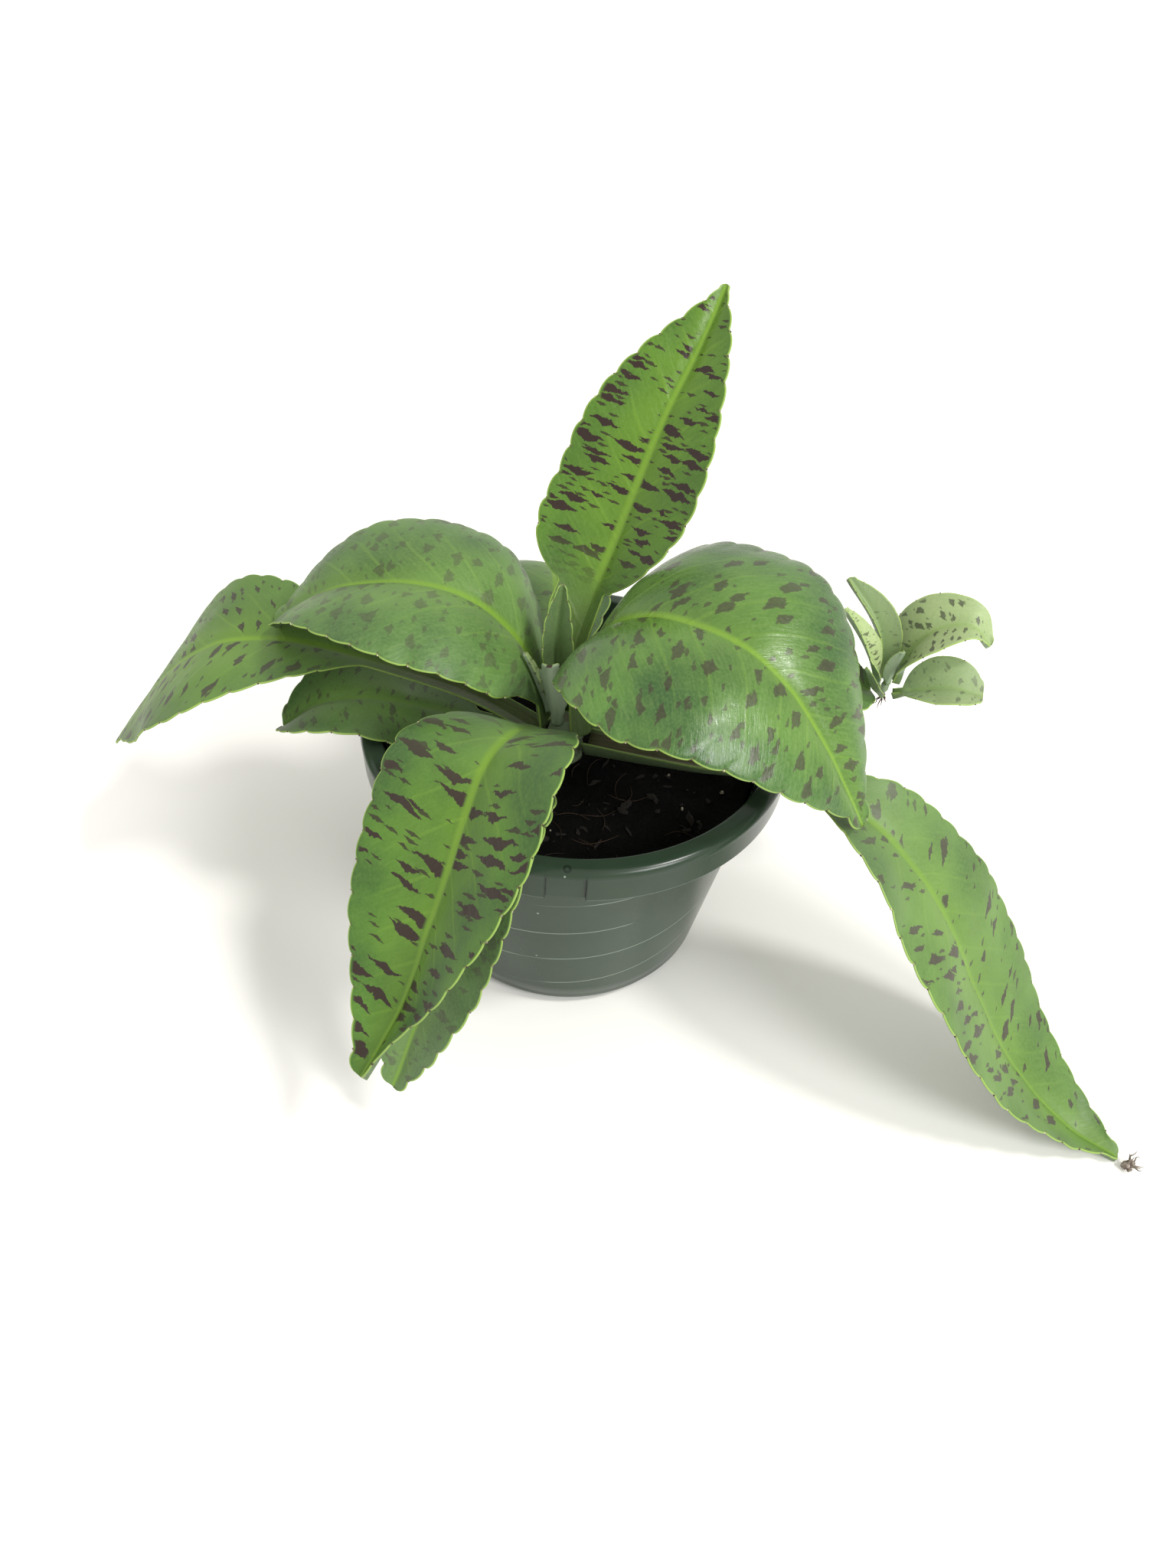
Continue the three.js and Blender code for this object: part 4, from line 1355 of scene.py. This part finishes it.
def rootlet(shape, start, end, bend, radius, rng):
    """A tapering, crooked rootlet from start to end."""
    start, end = Vector(start), Vector(end)
    points = []
    for share in np.linspace(0, 1, 5):
        wander = Vector(rng.uniform(-1, 1, 3)) * (bend * math.sin(math.pi * share))
        points.append(tuple(start.lerp(end, share) + wander))
    shape.add(*tube(points, (radius, radius * 0.9, radius * 0.75, radius * 0.5, radius * 0.2), 6))


class KALANCHOE_OT_plantlet(Operator):
    """Build the plantlet at the back right leaf's tip: its stem, leaves and roots"""

    bl_idname = "kalanchoe.plantlet"
    bl_label = "Plantlet"

    def execute(self, context):
        build_leaves(PLANTLET_LEAVES, "young_leaf")
        skin = bpy.data.materials["stem skin"]
        shape = Shape()
        low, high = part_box("plantlet_stem")
        shape.add(*ringed_stalk(low, high, 0.3))
        shape.build("plantlet_stalk", "plantlet_stem", "stem_skin", [skin])

        low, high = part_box("plantlet_roots")
        centre = (low + high) / 2
        crown = Vector((centre[0], centre[1], high[2]))
        rng = np.random.default_rng(3)
        shape = Shape()
        knob, faces = pebble(6, 9, 0.4, 2)
        shape.add(knob * (1.1 * MM, 1.1 * MM, 0.8 * MM) + tuple(crown), faces)
        for count in range(9):
            turn = count * GOLDEN_ANGLE
            reach = (high[0] - low[0]) / 2 * rng.uniform(0.5, 1)
            end = (crown[0] + reach * math.cos(turn), crown[1] + reach * math.sin(turn),
                   high[2] - (high[2] - low[2]) * rng.uniform(0.4, 1))
            rootlet(shape, crown, end, 0.5 * MM, 0.3 * MM, rng)
        dry = grain_material("dried root", linear(122, 96, 78), 900, linear(58, 42, 36))
        shape.build("plantlet_root_tuft", "plantlet_roots", "dried_root", [dry])
        return {"FINISHED"}


class KALANCHOE_OT_rootlets(Operator):
    """Build the dried bulbil and rootlets at the long right leaf's tip"""

    bl_idname = "kalanchoe.rootlets"
    bl_label = "Tip rootlets"

    def execute(self, context):
        low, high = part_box("tip_rootlets")
        rng = np.random.default_rng(5)
        heart = Vector((low[0] + 4 * MM, (low[1] + high[1]) / 2, low[2] + 1.7 * MM))
        shape = Shape()
        for count, (dx, dy, dz) in enumerate(((0, 0, 0), (1.8, 0.6, 0.3), (0.6, -1.6, -0.2))):
            knob, faces = pebble(7, 10, 0.7, count + 4)
            size = (1.7 - 0.4 * count) * MM
            spot = heart + Vector((dx, dy, dz)) * MM
            shape.add(knob * (size, size * 0.9, size * 0.75) + tuple(spot), faces)
        for count in range(8):
            end = (rng.uniform(low[0] + 2 * MM, high[0]), rng.uniform(low[1], high[1]),
                   rng.uniform(low[2] + 1 * MM, high[2]))
            rootlet(shape, heart, end, 0.7 * MM, 0.42 * MM, rng)
        dry = grain_material("grey bulbil", linear(160, 150, 138), 700, linear(92, 80, 70))
        shape.build("tip_bulbil", "tip_rootlets", "dried_root", [dry])
        return {"FINISHED"}


# ---------------------------------------------------------------- stage


def floor_material(settings):
    shader = Shader("pale floor")
    spot = shader.place()
    cloud = shader.noise(spot, 6, 3)
    shade = shader.mix(cloud * 0.5, settings.floor, linear(246, 245, 241))
    shader.set(base_color=shade, roughness=0.6 + cloud * 0.1)
    return shader.material


def add_light(name, kind, place, aim, power, tint):
    """A light at place, turned towards aim."""
    data = bpy.data.lights.new(name, kind)
    data.energy = power
    data.color = tint
    light = bpy.data.objects.new(name, data)
    bpy.context.scene.collection.objects.link(light)
    light.location = place
    light.rotation_euler = (Vector(aim) - Vector(place)).to_track_quat("-Z", "Y").to_euler()
    return data


class KALANCHOE_OT_stage(Operator):
    """Build the floor, the soft lights and the camera"""

    bl_idname = "kalanchoe.stage"
    bl_label = "Stage"

    def execute(self, context):
        scene = context.scene
        settings = scene.kalanchoe_stage
        self.build_floor(scene, settings)
        self.build_lights(scene, settings)
        self.build_camera(scene, settings)
        return {"FINISHED"}

    def build_floor(self, scene, settings):
        half = settings.floor_size / 2
        mesh = bpy.data.meshes.new("floor")
        corners = [(-half, -half, 0), (half, -half, 0), (half, half, 0), (-half, half, 0)]
        mesh.from_pydata(corners, [], [(0, 1, 2, 3)])
        mesh.materials.append(floor_material(settings))
        floor = bpy.data.objects.new("floor", mesh)
        scene.collection.objects.link(floor)

    def build_lights(self, scene, settings):
        aim = (0.02, -0.02, 0.1)
        key = add_light("key", "SUN", (0.92, -0.33, 1.6), aim, settings.key_power, (1, 0.98, 0.95))
        key.angle = math.radians(9)
        window = add_light("window", "AREA", (1.0, -1.0, 1.15), aim, settings.fill_power, (1, 1, 1))
        window.shape = "DISK"
        window.size = 0.6
        world = bpy.data.worlds.new("studio")
        world.use_nodes = True
        background = world.node_tree.nodes["Background"]
        background.inputs["Color"].default_value = (1, 0.985, 0.94, 1)
        background.inputs["Strength"].default_value = settings.sky
        scene.world = world
        scene.view_settings.view_transform = "Standard"

    def build_camera(self, scene, settings):
        camera = bpy.data.cameras.new("camera")
        camera.lens = settings.lens
        camera.sensor_width = 36
        camera.sensor_fit = "AUTO"
        camera.clip_start = 0.01
        camera.clip_end = 50
        eye = bpy.data.objects.new("camera", camera)
        scene.collection.objects.link(eye)
        down, turn, roll = settings.camera_down, settings.camera_turn, settings.camera_roll
        ahead = Vector((math.sin(turn) * math.cos(down), math.cos(turn) * math.cos(down), -math.sin(down)))
        right = ahead.cross(Vector((0, 0, 1))).normalized()
        above = right.cross(ahead)
        lean_right = right * math.cos(roll) + above * math.sin(roll)
        lean_up = above * math.cos(roll) - right * math.sin(roll)
        axes = Matrix((lean_right, lean_up, -ahead)).transposed().to_4x4()
        place = Matrix.Translation((0, -settings.camera_distance, settings.camera_height))
        eye.matrix_world = place @ axes
        scene.camera = eye


# ---------------------------------------------------------------- add-on


class KALANCHOE_PT_panel(Panel):
    """The build steps, in order"""

    bl_idname = "KALANCHOE_PT_panel"
    bl_label = "Potted Kalanchoe"
    bl_space_type = "VIEW_3D"
    bl_region_type = "UI"
    bl_category = "Kalanchoe"

    def draw(self, context):
        for operator in OPERATORS:
            self.layout.operator(operator.bl_idname)
        for key in SETTINGS:
            group = getattr(context.scene, key)
            box = self.layout.box()
            for name in group.__annotations__:
                box.prop(group, name)


OPERATORS = (
    KALANCHOE_OT_pot,
    KALANCHOE_OT_mix,
    KALANCHOE_OT_stem,
    KALANCHOE_OT_leaves,
    KALANCHOE_OT_young_leaves,
    KALANCHOE_OT_plantlet,
    KALANCHOE_OT_rootlets,
    KALANCHOE_OT_stage,
)
SETTINGS = {
    "kalanchoe_leaf": KalanchoeLeafSettings,
    "kalanchoe_pot": KalanchoePotSettings,
    "kalanchoe_mix": KalanchoeMixSettings,
    "kalanchoe_stage": KalanchoeStageSettings,
}


def register():
    for cls in (*SETTINGS.values(), *OPERATORS, KALANCHOE_PT_panel):
        bpy.utils.register_class(cls)
    for key, group in SETTINGS.items():
        setattr(bpy.types.Scene, key, PointerProperty(type=group))


def unregister():
    for key in SETTINGS:
        delattr(bpy.types.Scene, key)
    for cls in reversed((*SETTINGS.values(), *OPERATORS, KALANCHOE_PT_panel)):
        bpy.utils.unregister_class(cls)


def main():
    register()
    bpy.ops.kalanchoe.pot()
    bpy.ops.kalanchoe.mix()
    bpy.ops.kalanchoe.stem()
    bpy.ops.kalanchoe.leaves()
    bpy.ops.kalanchoe.young_leaves()
    bpy.ops.kalanchoe.plantlet()
    bpy.ops.kalanchoe.rootlets()
    bpy.ops.kalanchoe.stage()


if __name__ == "__main__":
    main()
